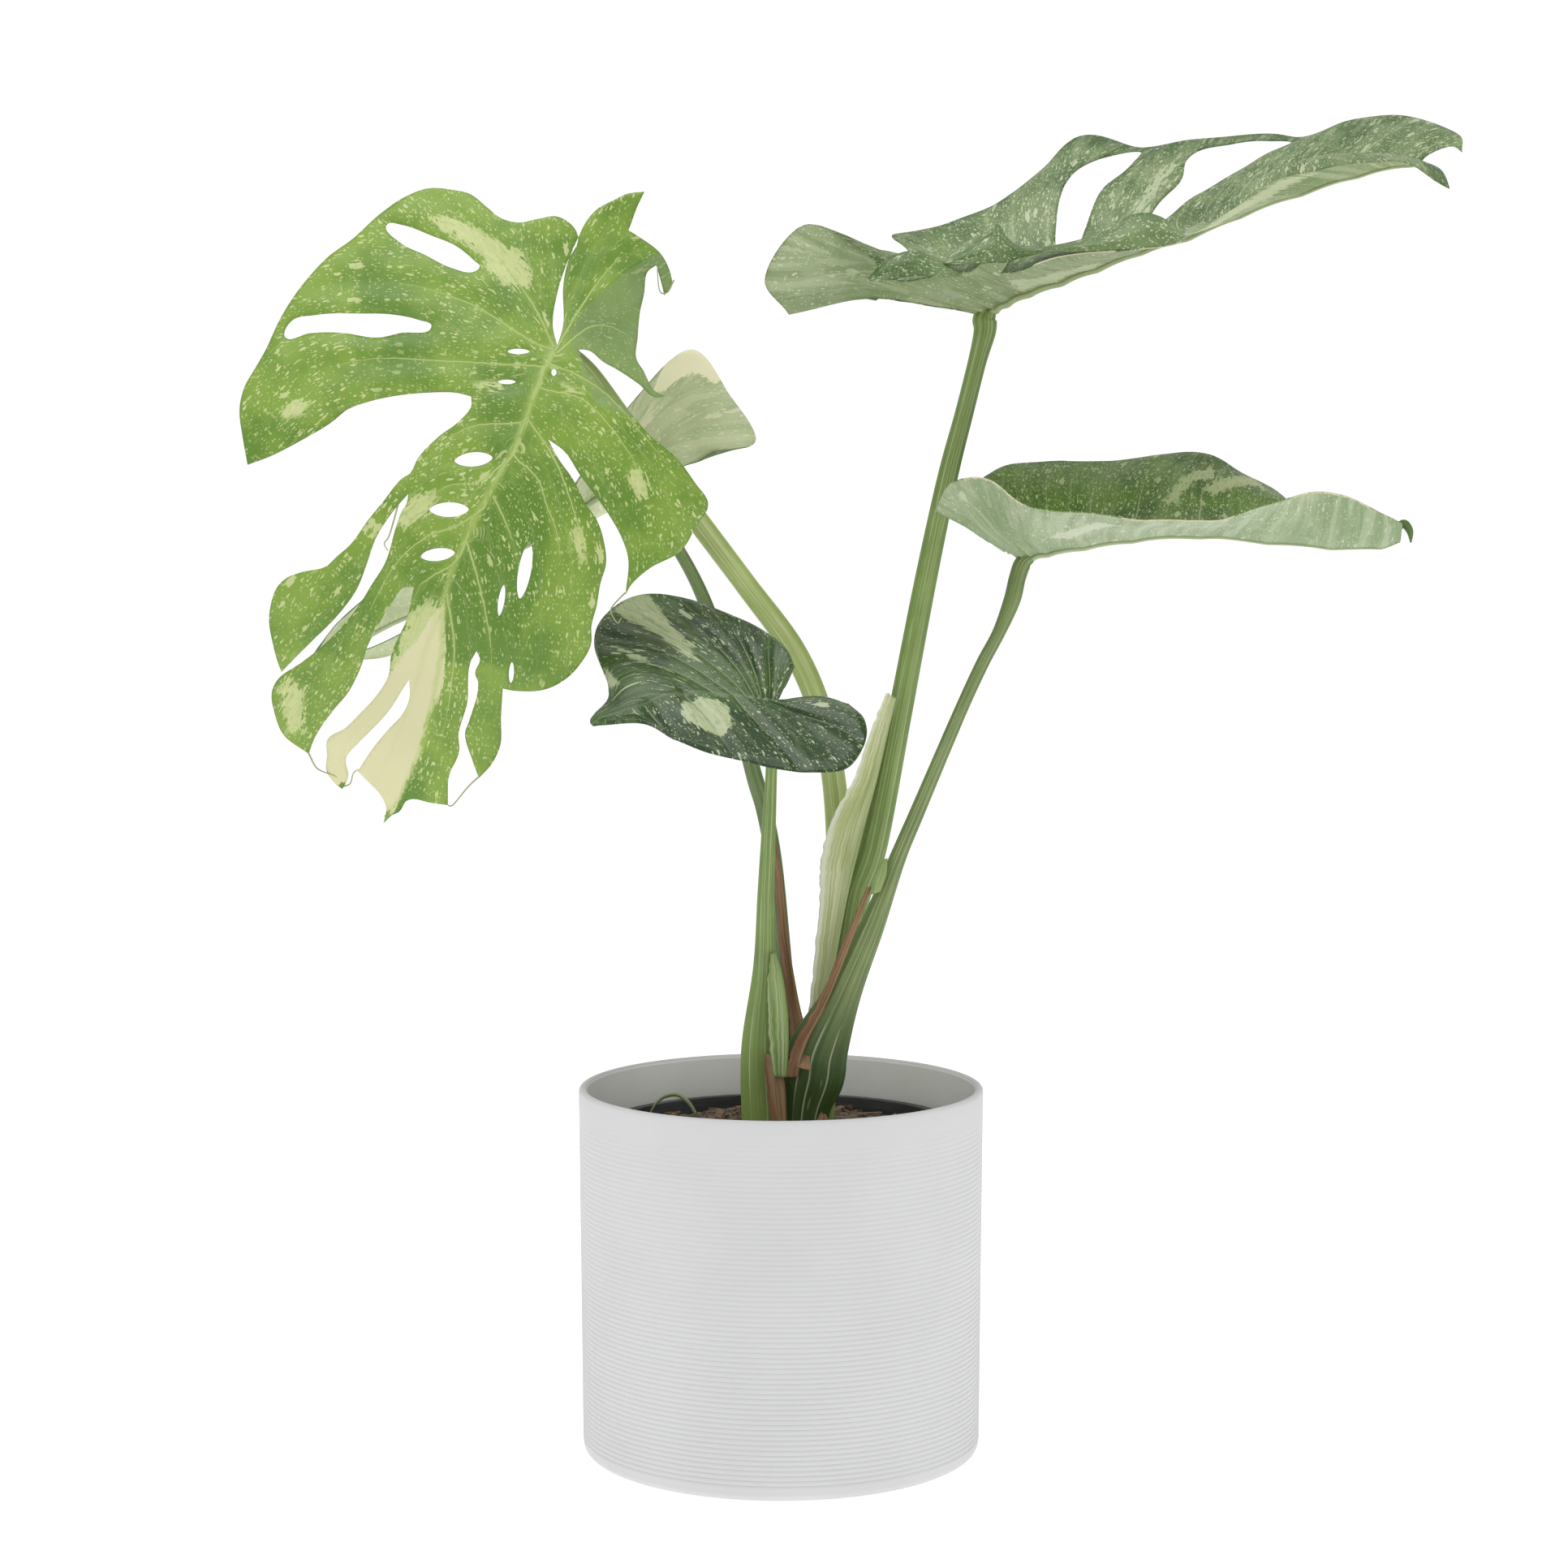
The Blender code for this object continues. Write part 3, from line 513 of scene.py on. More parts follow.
def stalk(name, rings, finish, node):
    """A stalk lofted through rings of (x, y, z, width, depth) in millimetres, with shallow ridges."""
    rings = np.asarray(rings, float)
    length = np.linalg.norm(np.diff(rings[:, :3], axis=0), axis=1).sum()
    count = int(length / STALK_STEP)
    rows = curve_rows(rings, count)
    points, grain = [], []
    run = 0.0
    for k, row in enumerate(rows):
        run += np.linalg.norm(row[:3] - rows[k - 1][:3]) if k else 0.0
        ahead = rows[min(k + 1, count)][:3] - rows[max(k - 1, 0)][:3]
        ahead /= np.linalg.norm(ahead)
        side = np.cross((0.0, 1.0, 0.0), ahead)
        side /= np.linalg.norm(side)
        front = np.cross(ahead, side)
        for j in range(STALK_SIDES):
            angle = 2 * math.pi * j / STALK_SIDES
            ripple = 0.5 * math.cos(7 * angle + 0.01 * run) + 0.3 * math.cos(12 * angle + 1.0)
            ridge = 1 + STALK_GROOVE * ripple
            out = side * math.cos(angle) * row[3] + front * math.sin(angle) * row[4]
            points.append((row[:3] + ridge * out / 2) * MM)
            grain.append((math.cos(angle), -math.sin(angle), run / 100))
    faces = [tuple(reversed(range(STALK_SIDES)))]
    for k in range(count):
        for j in range(STALK_SIDES):
            a, b = k * STALK_SIDES + j, k * STALK_SIDES + (j + 1) % STALK_SIDES
            faces.append((a, b, b + STALK_SIDES, a + STALK_SIDES))
    faces.append(tuple(range(count * STALK_SIDES, (count + 1) * STALK_SIDES)))
    piece = piece_of(name, points, faces, [finish])
    write_grain(piece, "grain", grain)
    smooth(piece, 60)
    hold(piece, "stalk_green", node)


SOCKET_Z = 1000 * (SOIL_TOP + SOIL_DOME) - 12
left_green = fibrous("light stalk green", (138, 158, 80), (164, 180, 108), (204, 210, 160), (140, 160, 90),
                     (-0.4, 0.3))
mid_green = fibrous("mid stalk green", (96, 124, 54), (124, 148, 78), (176, 188, 132), (104, 128, 64),
                    (-0.5, 0.55))
right_green = fibrous("soft stalk green", (88, 112, 56), (114, 134, 78), (168, 178, 126), (42, 70, 20),
                      (-0.5, -0.12, 0.45))
front_green = fibrous("deep stalk green", (94, 122, 52), (124, 150, 74), (176, 190, 136), (136, 162, 84),
                      (-0.5, 0.35))
back_green = fibrous("shaded stalk green", (84, 108, 62), (112, 134, 84), (160, 172, 128), (86, 102, 60))

stalk("stalk_left_petiole", [
    (20, 17, SOCKET_Z, 15, 14), (23, 17, 200, 16, 14), (28, 20, 236, 15, 14), (31, 26, 280, 14, 13),
    (32, 30, 324, 14, 13), (29, 31, 365, 13, 13), (22, 29, 401, 13, 12), (7, 25, 436, 13, 12),
    (-19, 15, 472, 12, 12), (-45, 3, 507, 12, 11), (-64, -4, 533, 11, 11), (-84, -16, 561, 10, 10),
    (-100, -28, 583, 10, 10), (-110, -37, 593, 9, 9), (-114, -41, 596, 8, 8),
], left_green, "stalk_left")
stalk("stalk_upper_right_petiole", [
    (18, -2, SOCKET_Z, 15, 13), (20, -2, 200, 17, 14), (26, -2, 230, 16, 14), (35, 0, 270, 14, 13),
    (41.5, 2, 305, 15, 13), (50.5, 3, 332, 15, 12), (64.5, 7, 402, 13, 12), (78, 11, 472, 12, 11),
    (90, 13, 529, 11, 11), (99, 15, 564, 10, 10), (106, 16, 592, 10, 10), (110, 16, 608, 12, 12),
    (110, 16, 615, 13, 12), (112, 15.5, 619, 9, 7),
], mid_green, "stalk_upper_right")
stalk("stalk_lower_right_petiole", [
    (11, -20, SOCKET_Z, 20, 12), (13, -21, 190, 26, 13), (17, -24, 208, 33, 13), (20, -25, 224, 32, 13),
    (34, -26, 256, 19, 12), (49, -26, 291, 13, 11), (62, -25, 326, 9, 9), (73, -24, 352, 8, 8),
    (95, -24, 404, 7, 7), (107, -22, 430, 7, 7), (116, -21, 447, 7, 7), (123, -20, 464, 9, 9),
    (126, -18, 476, 9, 9), (129, -17, 484, 9, 8), (133, -17, 487, 6, 5),
], right_green, "stalk_lower_right")
stalk("stalk_front_petiole", [
    (-11, -17, SOCKET_Z, 19, 12), (-11, -17, 187, 21, 13), (-12, -19, 224, 19, 12), (-9, -25, 268, 12, 10),
    (-8, -32, 309, 9, 9), (-6, -44, 354, 7, 7), (-5, -51, 376, 6, 6), (-4, -60, 408, 6, 6),
], front_green, "stalk_front")
stalk("stalk_back_petiole", [
    (-1, 15, SOCKET_Z, 12, 12), (2, 14, 200, 12, 12), (3, 13, 237, 10, 10), (0, 12, 282, 9, 9),
    (-4, 11, 322, 9, 9), (-9, 12, 349, 9, 9), (-14, 13, 366, 9, 9), (-21, 17, 392, 8, 8),
    (-28, 22, 419, 8, 8), (-37, 28, 450, 8, 8), (-50, 34, 480, 7, 7), (-73, 48, 516, 7, 7),
    (-83, 56, 528, 7, 7),
], back_green, "stalk_back")

# ---------------------------------------------------------------------------
# Left leaf. A thin leathery blade, deeply cut into lobes with holes beside the midrib, bright green with
# sandy flecks and cream patches, hanging from its joint to face the front.


def distances(spots, line):
    """How far each spot is from the open line, and how far along the line its nearest point lies."""
    line = np.asarray(line, float)
    best, where, run = np.full(len(spots), 1e9), np.zeros(len(spots)), 0.0
    for a, b in zip(line[:-1], line[1:]):
        length = math.hypot(*(b - a)) + 1e-9
        share = np.clip(((spots - a) @ (b - a)) / length**2, 0, 1)
        away = np.hypot(*(spots - a - share[:, None] * (b - a)).T)
        closer = away < best
        best[closer], where[closer] = away[closer], run + share[closer] * length
        run += length
    return best, where


def within(spots, loop):
    loop = np.asarray(loop, float)
    odd = np.zeros(len(spots), bool)
    x, y = spots[:, 0], spots[:, 1]
    for (x1, y1), (x2, y2) in zip(loop, np.roll(loop, -1, axis=0)):
        if y1 != y2:
            odd ^= ((y1 > y) != (y2 > y)) & (x < x1 + (x2 - x1) * (y - y1) / (y2 - y1))
    return odd


def depth_in(spots, patches):
    """How deep each spot lies inside the patches, in millimetres, and negative outside them."""
    deep = np.full(len(spots), -50.0)
    for patch in patches:
        away = distances(spots, list(patch) + [patch[0]])[0]
        deep = np.maximum(deep, np.where(within(spots, patch), away, -away))
    return deep


def rounded(loop, step, sharp=70):
    """The closed loop drawn as a smooth line of short sides, which keeps its sharp corners."""
    loop = [np.asarray(p, float) for p in loop]
    count, out = len(loop), []
    for i in range(count):
        before, a, b, after = loop[i - 1], loop[i], loop[(i + 1) % count], loop[(i + 2) % count]
        side = b - a
        length = math.hypot(*side)
        if length < 1e-6:
            continue
        heads = []
        for back, here, front in ((before, a, b), (a, b, after)):
            u, v = here - back, front - here
            u, v = u / (math.hypot(*u) + 1e-9), v / (math.hypot(*v) + 1e-9)
            bent = math.degrees(math.acos(max(-1.0, min(1.0, float(u @ v)))))
            heads.append(side / length if bent > sharp else (u + v) / (math.hypot(*(u + v)) + 1e-9))
        parts = max(1, round(length / step))
        for k in range(parts):
            t = k / parts
            h = (2 * t**3 - 3 * t**2 + 1, t**3 - 2 * t**2 + t, -2 * t**3 + 3 * t**2, t**3 - t**2)
            out.append(tuple(h[0] * a + h[1] * length * heads[0] + h[2] * b + h[3] * length * heads[1]))
    return out


def blade(outline, holes, grid, step):
    """The blade's flat spots and faces: its rounded outline and holes, meshed with a fine even grid."""
    loops = [rounded(outline, step)] + [rounded(hole, step * 0.7, 180) for hole in holes]
    flat, sides = [], []
    for loop in loops:
        sides += [(len(flat) + k, len(flat) + (k + 1) % len(loop)) for k in range(len(loop))]
        flat += loop
    lows, highs = np.min(loops[0], axis=0), np.max(loops[0], axis=0)
    rows = np.arange(lows[1] + grid / 2, highs[1], grid * 0.87)
    columns = np.arange(lows[0] + grid / 2, highs[0], grid)
    web = np.array([(x + grid / 2 * (r % 2), y) for r, y in enumerate(rows) for x in columns])
    keep = within(web, loops[0])
    for k, loop in enumerate(loops):
        keep &= distances(web, loop + [loop[0]])[0] > 0.55 * grid
        if k:
            keep &= ~within(web, loop)
    flat += [tuple(spot) for spot in web[keep]]
    spots, _, faces, *_ = delaunay_2d_cdt([Vector(p) for p in flat], sides, [], 0, 1e-5)
    spots = np.array([tuple(s) for s in spots])
    faces = np.array([tuple(f) for f in faces])
    centre = spots[faces].mean(axis=1)
    kept = within(centre, loops[0])
    for loop in loops[1:]:
        kept &= ~within(centre, loop)
    faces = faces[kept]
    used, faces = np.unique(faces, return_inverse=True)
    return spots[used], faces.reshape(-1, 3), loops


def leaf_paint(colours, sheen=0.38, busy=1.0, bands=0.0):
    """A blade's skin: drifting greens, flecks and bands along the veins, pale and cream patches, ribs."""
    deep, green, fleck, cream, rib = (srgb(*colour) for colour in colours)

    def paint(start):
        flow = read_grain(start, "flow", 1)
        cream_in, pale_in = read_grain(start, "cream", 2), read_grain(start, "pale", 2)
        vein, shade = read_grain(start, "vein", 2), read_grain(start, "shade", 2)
        spot = place_of(start)
        cloud = spot.noise(16.0, 3.0)
        drift = spot.noise(45.0, 2.0)
        ragged = flow.stretch(0.13, 0.42).noise(1.0, 5.0, 0.7)
        # Painted shade: the blade's shade number moves its greens towards the deep green.
        skin = (cloud * 0.5 + drift * 0.5 - shade).rise(0.36, 0.62).tint(deep, green)
        band = flow.stretch(0.014, 0.13).noise(1.0, 4.0, 0.55, 0.4)
        skin = (band.rise(0.53, 0.57) * bands).tint(skin, between(green, fleck, 0.55))
        skin = (band.fall(0.40, 0.44) * bands).tint(skin, between(deep, green, -0.35))

        def flecks(along, across, common, large):
            """Ovals drawn out along the veins: common is the share that is there and large their reach."""
            wide = {"Vector": flow.stretch(along * 2.2, across * 2.2), "Scale": 1.0, "Detail": 3.0}
            shift = flow.node("ShaderNodeTexNoise", wide, out=1)
            bent = shift.node("ShaderNodeVectorMath", {0: shift, 1: (0.5, 0.5, 0.5)}, operation="SUBTRACT")
            place = bent.node("ShaderNodeVectorMath",
                              {0: bent, 1: (0.9, 0.9, 0.0), 2: flow.stretch(along, across)},
                              operation="MULTIPLY_ADD")
            cells = {"Vector": place, "Scale": 1.0, "Randomness": 1.0}
            away = place.node("ShaderNodeTexVoronoi", cells, voronoi_dimensions="2D")
            random = place.node("ShaderNodeTexVoronoi", cells, out=1, voronoi_dimensions="2D")
            lot, size = random.channel(0), random.channel(1)
            reach = size * size * large + 0.05
            return (reach - away).rise(0.0, 0.05) * lot.fall(common, common + 0.01)

        fine = flecks(0.45, 1.1, 0.6 * busy, 0.36)
        middle = flecks(0.19, 0.55, 0.45 * busy, 0.34)
        broad = flecks(0.08, 0.24, 0.14 * busy, 0.4)
        gaps = (cloud * 0.6 + ragged * 0.4).rise(0.36, 0.52)
        spots_on = (fine * 0.8).either(middle * 0.85).either(broad * 0.8) * (0.4 + gaps * 0.6)
        skin = spots_on.tint(skin, fleck)
        pale = (pale_in + ragged * 24.0 - 12.0).rise(-0.4, 0.6)
        mottle = (ragged.rise(0.5, 0.62) * 0.35).tint(fleck, green)
        skin = (pale * 0.85).tint(skin, mottle)
        white = (cream_in + ragged * 10.0 - 5.0).rise(-0.4, 0.6)
        skin = white.tint(skin, cloud.rise(0.3, 0.7).tint(cream, tuple(0.93 * c for c in cream)))
        skin = (vein * 0.55).tint(skin, rib)
        dull = read_grain(start, "dull", 2)
        skin = (dull.rise(-0.3, 0.3) * 0.55).tint(skin, between(deep, (0.36, 0.42, 0.26), 0.5))
        small = flow.stretch(0.9, 1.4).noise(1.0, 2.0)
        return {
            "Base Color": skin,
            "Roughness": sheen + ragged * 0.12 + white * 0.08,
            "Specular IOR Level": 0.45,
            "Normal": bumped(small * 0.5 + ragged, 0.12, 0.0006),
        }

    return paint


def on_blade(flat, values, spots):
    """The values at these flat spots, from the blade's nearest points."""
    out = []
    for spot in np.asarray(spots, float):
        away = np.hypot(*(flat - spot).T)
        near = np.argpartition(away, 4)[:4]
        weight = 1 / (away[near] + 0.05) ** 2
        out.append((values[near] * weight[:, None]).sum(axis=0) / weight.sum())
    return np.array(out)


ROD_STEP = 2.5
VEIN_SHARE = 0.9
BLADE_THICKNESS = 0.55
QUILT_REACH, QUILT_MARGIN = 7.0, 8.0
VEIN_LANE, SIDE_LANE = 40.0, 900.0


def rod_line(line, share=1.0):
    """The smooth line through the points of a vein, cut at that share of its length."""
    line = np.asarray(line, float)
    count = max(4, int(share * np.linalg.norm(np.diff(line, axis=0), axis=1).sum() / ROD_STEP))
    return curve_rows(line, count, share)


def rod_grain(count, sides, turn=1.0, reach=1.0):
    """The grain of a tube's points: their place round it, then the run along it."""
    around = [(reach * math.cos(j * turn), reach * math.sin(j * turn)) for j in range(sides)]
    return [(*spot, 1.0 + k * 0.02) for k in range(count) for spot in around]


def thickened(piece, thickness):
    """Gives the sheet its thickness in millimetres, and its back the second finish, if it has one."""
    for polygon in piece.data.polygons:
        polygon.use_smooth = True
    shell = piece.modifiers.new("thickness", "SOLIDIFY")
    shell.thickness, shell.offset = thickness * MM, 0.0
    shell.material_offset = min(1, len(piece.data.materials) - 1)
    only(piece)
    bpy.ops.object.modifier_apply(modifier=shell.name)


def leaf(name, node, slot, flat, faces, place, veins, midrib, skins, loops, turned_over=False,
         cream=(), pale=(), dark=(), dull=(), quilt=0.8, ripple=1.2, seed=1.0, measure=None,
         rib_size=(3.4, 0.7), vein_size=(0.75, 0.2)):
    """Bends the flat spots into place, quilts and ruffles them, and adds the thickness and the veins."""
    flow, nearest = np.zeros((len(flat), 3)), np.full(len(flat), 1e9)
    for k, vein in enumerate(veins):
        tail = np.subtract(vein[-1], vein[-2])
        beyond = tuple(np.add(vein[-1], tail / np.linalg.norm(tail) * 60))
        away, run = distances(flat, list(vein) + [beyond])
        chord = np.subtract(vein[-1], vein[0])
        side = np.sign((flat - vein[0]) @ (-chord[1], chord[0]))
        closer = away < nearest
        nearest = np.where(closer, away, nearest)
        lane = (run, VEIN_LANE * k + side * away)
        flow[:, 0], flow[:, 1] = np.where(closer, lane, (flow[:, 0], flow[:, 1]))
    if measure is not None:
        flow[:, 0], flow[:, 1] = measure(flat)
    rib_away, rib_run = distances(flat, midrib)
    rib_length = rib_run.max() + 1e-6
    edge = np.min([distances(flat, loop + [loop[0]])[0] for loop in loops], axis=0)
    vein_width = 1.5 - 0.9 * np.clip(flow[:, 0] / 110.0, 0, 1)
    rib_width = 2.1 - 1.3 * rib_run / rib_length
    lateral = np.exp(-((nearest / vein_width) ** 2)) * (0.6 - 0.45 * np.clip(flow[:, 0] / 90.0, 0, 1))
    centre = np.exp(-((rib_away / rib_width) ** 4))
    rise = quilt * (1 - np.exp(-((nearest / QUILT_REACH) ** 2))) * np.clip(edge / QUILT_MARGIN, 0, 1)
    height = rise - 0.35 * lateral + 0.5 * centre
    points = place(flat) * MM
    mesh_points = [tuple(p) for p in points]
    if not turned_over:
        faces = faces[:, ::-1]
    piece = piece_of(name, mesh_points, faces, skins)
    normals = np.empty(len(points) * 3, np.float32)
    piece.data.vertex_normals.foreach_get("vector", normals)
    normals = normals.reshape(-1, 3)
    wave = np.array([noise.noise(Vector((p[0] * 38, p[1] * 38 + seed, p[2] * 38))) for p in mesh_points])
    curl = ripple * 2.2 * wave * np.clip(1.4 - edge / 12.0, 0.25, 1)
    points = points + normals * ((height + curl)[:, None] * MM)
    piece.data.vertices.foreach_set("co", points.astype(np.float32).ravel())
    piece.data.update()
    write_grain(piece, "flow", flow + (seed * 37.0, 0.0, 0.0))
    write_grain(piece, "cream", depth_in(flat, cream))
    write_grain(piece, "pale", depth_in(flat, pale))
    write_grain(piece, "dull", depth_in(flat, dull))
    write_grain(piece, "vein", np.maximum(lateral, centre))
    # Painted shade: the dark patches are stored as the blade's shade number.
    write_grain(piece, "shade", 0.28 * np.clip(depth_in(flat, dark) / 10.0 + 0.5, 0, 1))
    thickened(piece, BLADE_THICKNESS)
    hold(piece, slot, node)
    # The midrib is a tapering rod, proud of the underside, and the side veins are thin rods in the blade.
    rods, walls, grain = [], [], []

    def rod(line, radii, sunk, sides):
        there, up = on_blade(flat, points, line), on_blade(flat, normals, line)
        sizes = np.linspace(*radii, len(line)) * MM
        tube(rods, walls, there - up * (sizes * sunk)[:, None], sizes, sides, 0.75, up)
        grain.extend(rod_grain(len(line), sides, reach=0.6))

    rod(rod_line(midrib), rib_size, 0.62, 12)
    for vein in veins:
        line = rod_line(vein, VEIN_SHARE)
        off = ~within(line, loops[0]) | (depth_in(line, cream) > -1)
        for hole in loops[1:]:
            off |= within(line, hole)
        off[:3] = False
        stop = int(np.argmax(off)) - 1 if off.any() else len(line)
        if stop > 4:
            rod(line[:stop], vein_size, -0.25, 5)
    ribs = piece_of(name + "_ribs", rods, walls, [skins[2]])
    write_grain(ribs, "grain", grain)
    smooth(ribs, 60)
    hold(ribs, slot, node)


LEFT_JOINT = np.array([-118.0, -50.0, 596.0])
LEFT_ALONG = np.array([-0.341, 0.0, -0.940])
LEFT_ACROSS = np.array([-0.940, 0.0, 0.341])
LEFT_LENGTH, LEFT_HALF_WIDTH = 265.0, 110.0
LEFT_ARCH, LEFT_DROOP = 35.0, 20.0
FOLD_SLOPE, FOLD_REACH = 0.55, 16

# The lower part of the first right lobe is turned back along a fold and shows a duller green.
LEFT_TURNED = [
    (-66, -32), (-53, -22), (-44, -17), (-35, -12), (-26, -7), (-9, -4), (20, -30), (20, -80), (-66, -80),
]


def left_place(spots):
    """Places flat spots, given along and across the leaf from its joint, on the arched, drooping blade."""
    spots = np.asarray(spots, float)
    along, across = spots.T
    arch = -LEFT_ARCH * np.sin(math.pi * np.clip(along / LEFT_LENGTH, -0.3, 1.0))
    fold = FOLD_SLOPE * np.clip(depth_in(spots, [LEFT_TURNED]), 0, FOLD_REACH)
    back = arch + LEFT_DROOP * (across / LEFT_HALF_WIDTH) ** 2 + fold
    flat_place = LEFT_JOINT + np.outer(along, LEFT_ALONG) + np.outer(across, LEFT_ACROSS)
    return flat_place + np.outer(back, (0.0, 1.0, 0.0))


LEFT_LOBES = {
    "upper left": [
        (-60, 9.7), (-66, 23), (-61, 33), (-56, 41), (-55, 51), (-58, 60), (-62, 72), (-61, 81), (-57, 94),
        (-48, 104), (-36, 112), (-19, 121), (-5, 130), (12, 137), (35, 142),
    ],
    "third left": [
        (50, 143), (64, 145), (74, 146), (86, 144), (99, 137), (111, 129), (102, 118), (90, 106), (76, 95),
        (66, 89), (58, 79), (49, 64), (43, 51), (39, 39), (38, 31), (43, 29),
    ],
    "bridge": [(52, 32), (63, 39), (77, 45), (86, 46), (90, 49)],
    "fourth left": [
        (104, 54), (115, 58), (130, 62), (139, 67), (146, 71), (153, 82), (159, 89), (165, 92), (176, 92),
        (184, 90), (196, 83), (206, 76), (196, 71), (186, 66), (168, 57), (152, 52), (137, 51), (123, 51),
        (109, 48),
    ],
    "fifth left": [
        (96, 43), (101, 42), (106, 43), (113, 43), (133, 42), (146, 45), (159, 48), (175, 54), (188, 61),
        (197, 67), (211, 77), (219, 78), (229, 73), (238, 65), (243, 50), (233, 49), (216, 44), (203, 39),
        (190, 37), (177, 37), (165, 35), (151, 32), (142, 29), (140, 24),
    ],
    "sixth left": [
        (157, 22), (166, 23), (177, 24), (188, 22), (201, 25), (212, 30), (222, 35), (231, 42), (240, 40),
        (248, 38), (252, 33), (254, 27), (247, 26), (238, 30), (227, 26), (219, 22), (208, 17), (198, 14),
        (193, 13), (186, 11), (195, 8), (205, 9), (214, 13), (227, 18), (234, 20), (242, 22),
    ],
    "tip": [
        (246, 14), (249, 8), (255, 2), (264, 1), (258, -2), (255, -5), (248, -7), (246, -10), (245, -18),
        (243, -28), (228, -24), (213, -25), (205, -22), (187, -21), (167, -16), (160, -17), (163, -20),
    ],
    "fifth right": [
        (171, -20), (175, -23), (196, -25), (203, -25), (215, -33), (223, -39), (213, -43), (202, -44),
        (189, -40), (174, -36),
    ],
    "third right": [
        (173, -42), (167, -56), (159, -64), (149, -69), (137, -71), (128, -68), (117, -67), (106, -65),
        (95, -64), (85, -59), (76, -52), (70, -44), (60, -33), (53, -23), (45, -14),
    ],
    "second right": [
        (48, -24), (57, -36), (67, -51), (73, -59), (80, -67), (89, -74), (107, -79), (101, -80), (90, -86),
        (76, -98), (61, -101), (49, -103), (41, -93), (32, -80), (25, -62), (17, -46), (11, -31), (4, -19),
    ],
    "first right": [
        (-4, -12), (-5, -17), (-2, -26), (-1, -34), (2, -47), (6, -57), (4, -62), (3, -56), (-5, -47),
        (-10, -41), (-20, -38), (-35, -34), (-44, -33), (-55, -31), (-60, -34), (-47, -43), (-52, -45),
        (-59, -42), (-67, -33), (-71, -20), (-72, -14), (-85, -14), (-94, -15), (-90, -7), (-85, -2),
        (-77, 5), (-69, 8.2), (-60, 9.3), (-45, 9.7), (-33, 7.6), (-13, 0), (-2, -1), (-11, 5), (-28, 9),
        (-45, 10.1),
    ],
}


def oval(start, end, width):
    """A lens-shaped opening from one end to the other."""
    start, end = np.array(start, float), np.array(end, float)
    along = end - start
    across = np.array((-along[1], along[0])) / np.hypot(*along) * width / 2
    turns = [math.pi * k / 6 for k in range(12)]
    swell = [across * math.sin(t) * abs(math.sin(t)) ** 0.3 for t in turns]
    return [tuple(start + along * (1 - math.cos(t)) / 2 + wide) for t, wide in zip(turns, swell)]


LEFT_HOLES = [
    [(-31, 107), (-34, 99), (-34, 83), (-33, 68), (-29, 56), (-27, 52), (-23, 54), (-21, 65), (-23, 82),
     (-25, 97)],
    [(11, 64), (10, 72), (12, 86), (17, 102), (26, 125), (33, 136), (42, 136), (36, 124), (30, 106),
     (26, 88), (20, 78)],
]
LEFT_OVALS = [
    ((72, 27), (64, 9), 7.5), ((100, 30), (93, 11), 7.5), ((124, 26), (116, 10), 6.5),
    ((98, -24), (127, -29), 6.5), ((10, 22), (6, 11), 3), ((26, 21), (23, 12), 2.6),
    ((13.8, -5), (9.8, -4), 2.8), ((123, -19), (139, -22), 3.2), ((159, -36), (170, -39), 2.6),
]
LEFT_HOLES += [oval(*ends) for ends in LEFT_OVALS]
LEFT_MIDRIB = [
    (0, 0), (19, 1), (48, 0), (69, 2), (92, 6), (119, 8), (141, 8), (165, 0), (191, -4), (219, -6),
    (248, -3), (260, 1),
]
LEFT_VEINS = [
    [(0, 0), (-26, 2), (-55, 0), (-79, -5)],
    [(1, -1), (-29, -6), (-55, -14), (-69, -27)],
    [(2, -2), (-18, -14), (-20, -31), (-7, -45)],
    [(9, -1), (9, -16), (17, -41), (36, -75), (51, -94)],
    [(19, -1), (22, -2), (20, -22), (27, -39), (40, -58), (59, -74), (82, -83)],
    [(39, 0), (52, -19), (72, -37), (97, -53), (129, -63)],
    [(56, -1), (60, -2), (66, -16), (78, -26), (92, -37), (121, -49), (154, -56)],
    [(82, 2), (95, -11), (112, -24), (143, -37), (168, -43)],
    [(108, 7), (127, -7), (157, -24), (198, -35)],
    [(137, 7), (163, -6), (197, -13), (233, -15)],
    [(143, 7), (168, 8), (199, 6), (237, 10), (245, 11)],
    [(104, 7), (120, 8), (133, 18), (144, 22), (186, 20), (227, 31), (246, 33)],
    [(86, 4), (91, 5), (103, 14), (113, 26), (133, 37), (173, 44), (212, 54), (232, 57)],
    [(62, 2), (67, 4), (79, 12), (86, 26), (109, 40), (137, 43), (172, 54), (212, 64)],
    [(39, 0), (43, 3), (52, 24), (64, 35), (83, 45), (90, 47), (118, 54), (155, 68), (186, 81)],
    [(12, 0), (12, 5), (18, 25), (27, 54), (35, 80), (45, 100), (59, 114), (87, 127)],
    [(1, -1), (1, 10), (-1, 21), (-6, 43), (-7, 63), (-5, 86), (6, 118), (17, 135)],
    [(0, 0), (-11, 11), (-21, 23), (-30, 37), (-40, 53), (-49, 75)],
    [(0, 0), (-20, 6), (-39, 16), (-56, 26)],
]
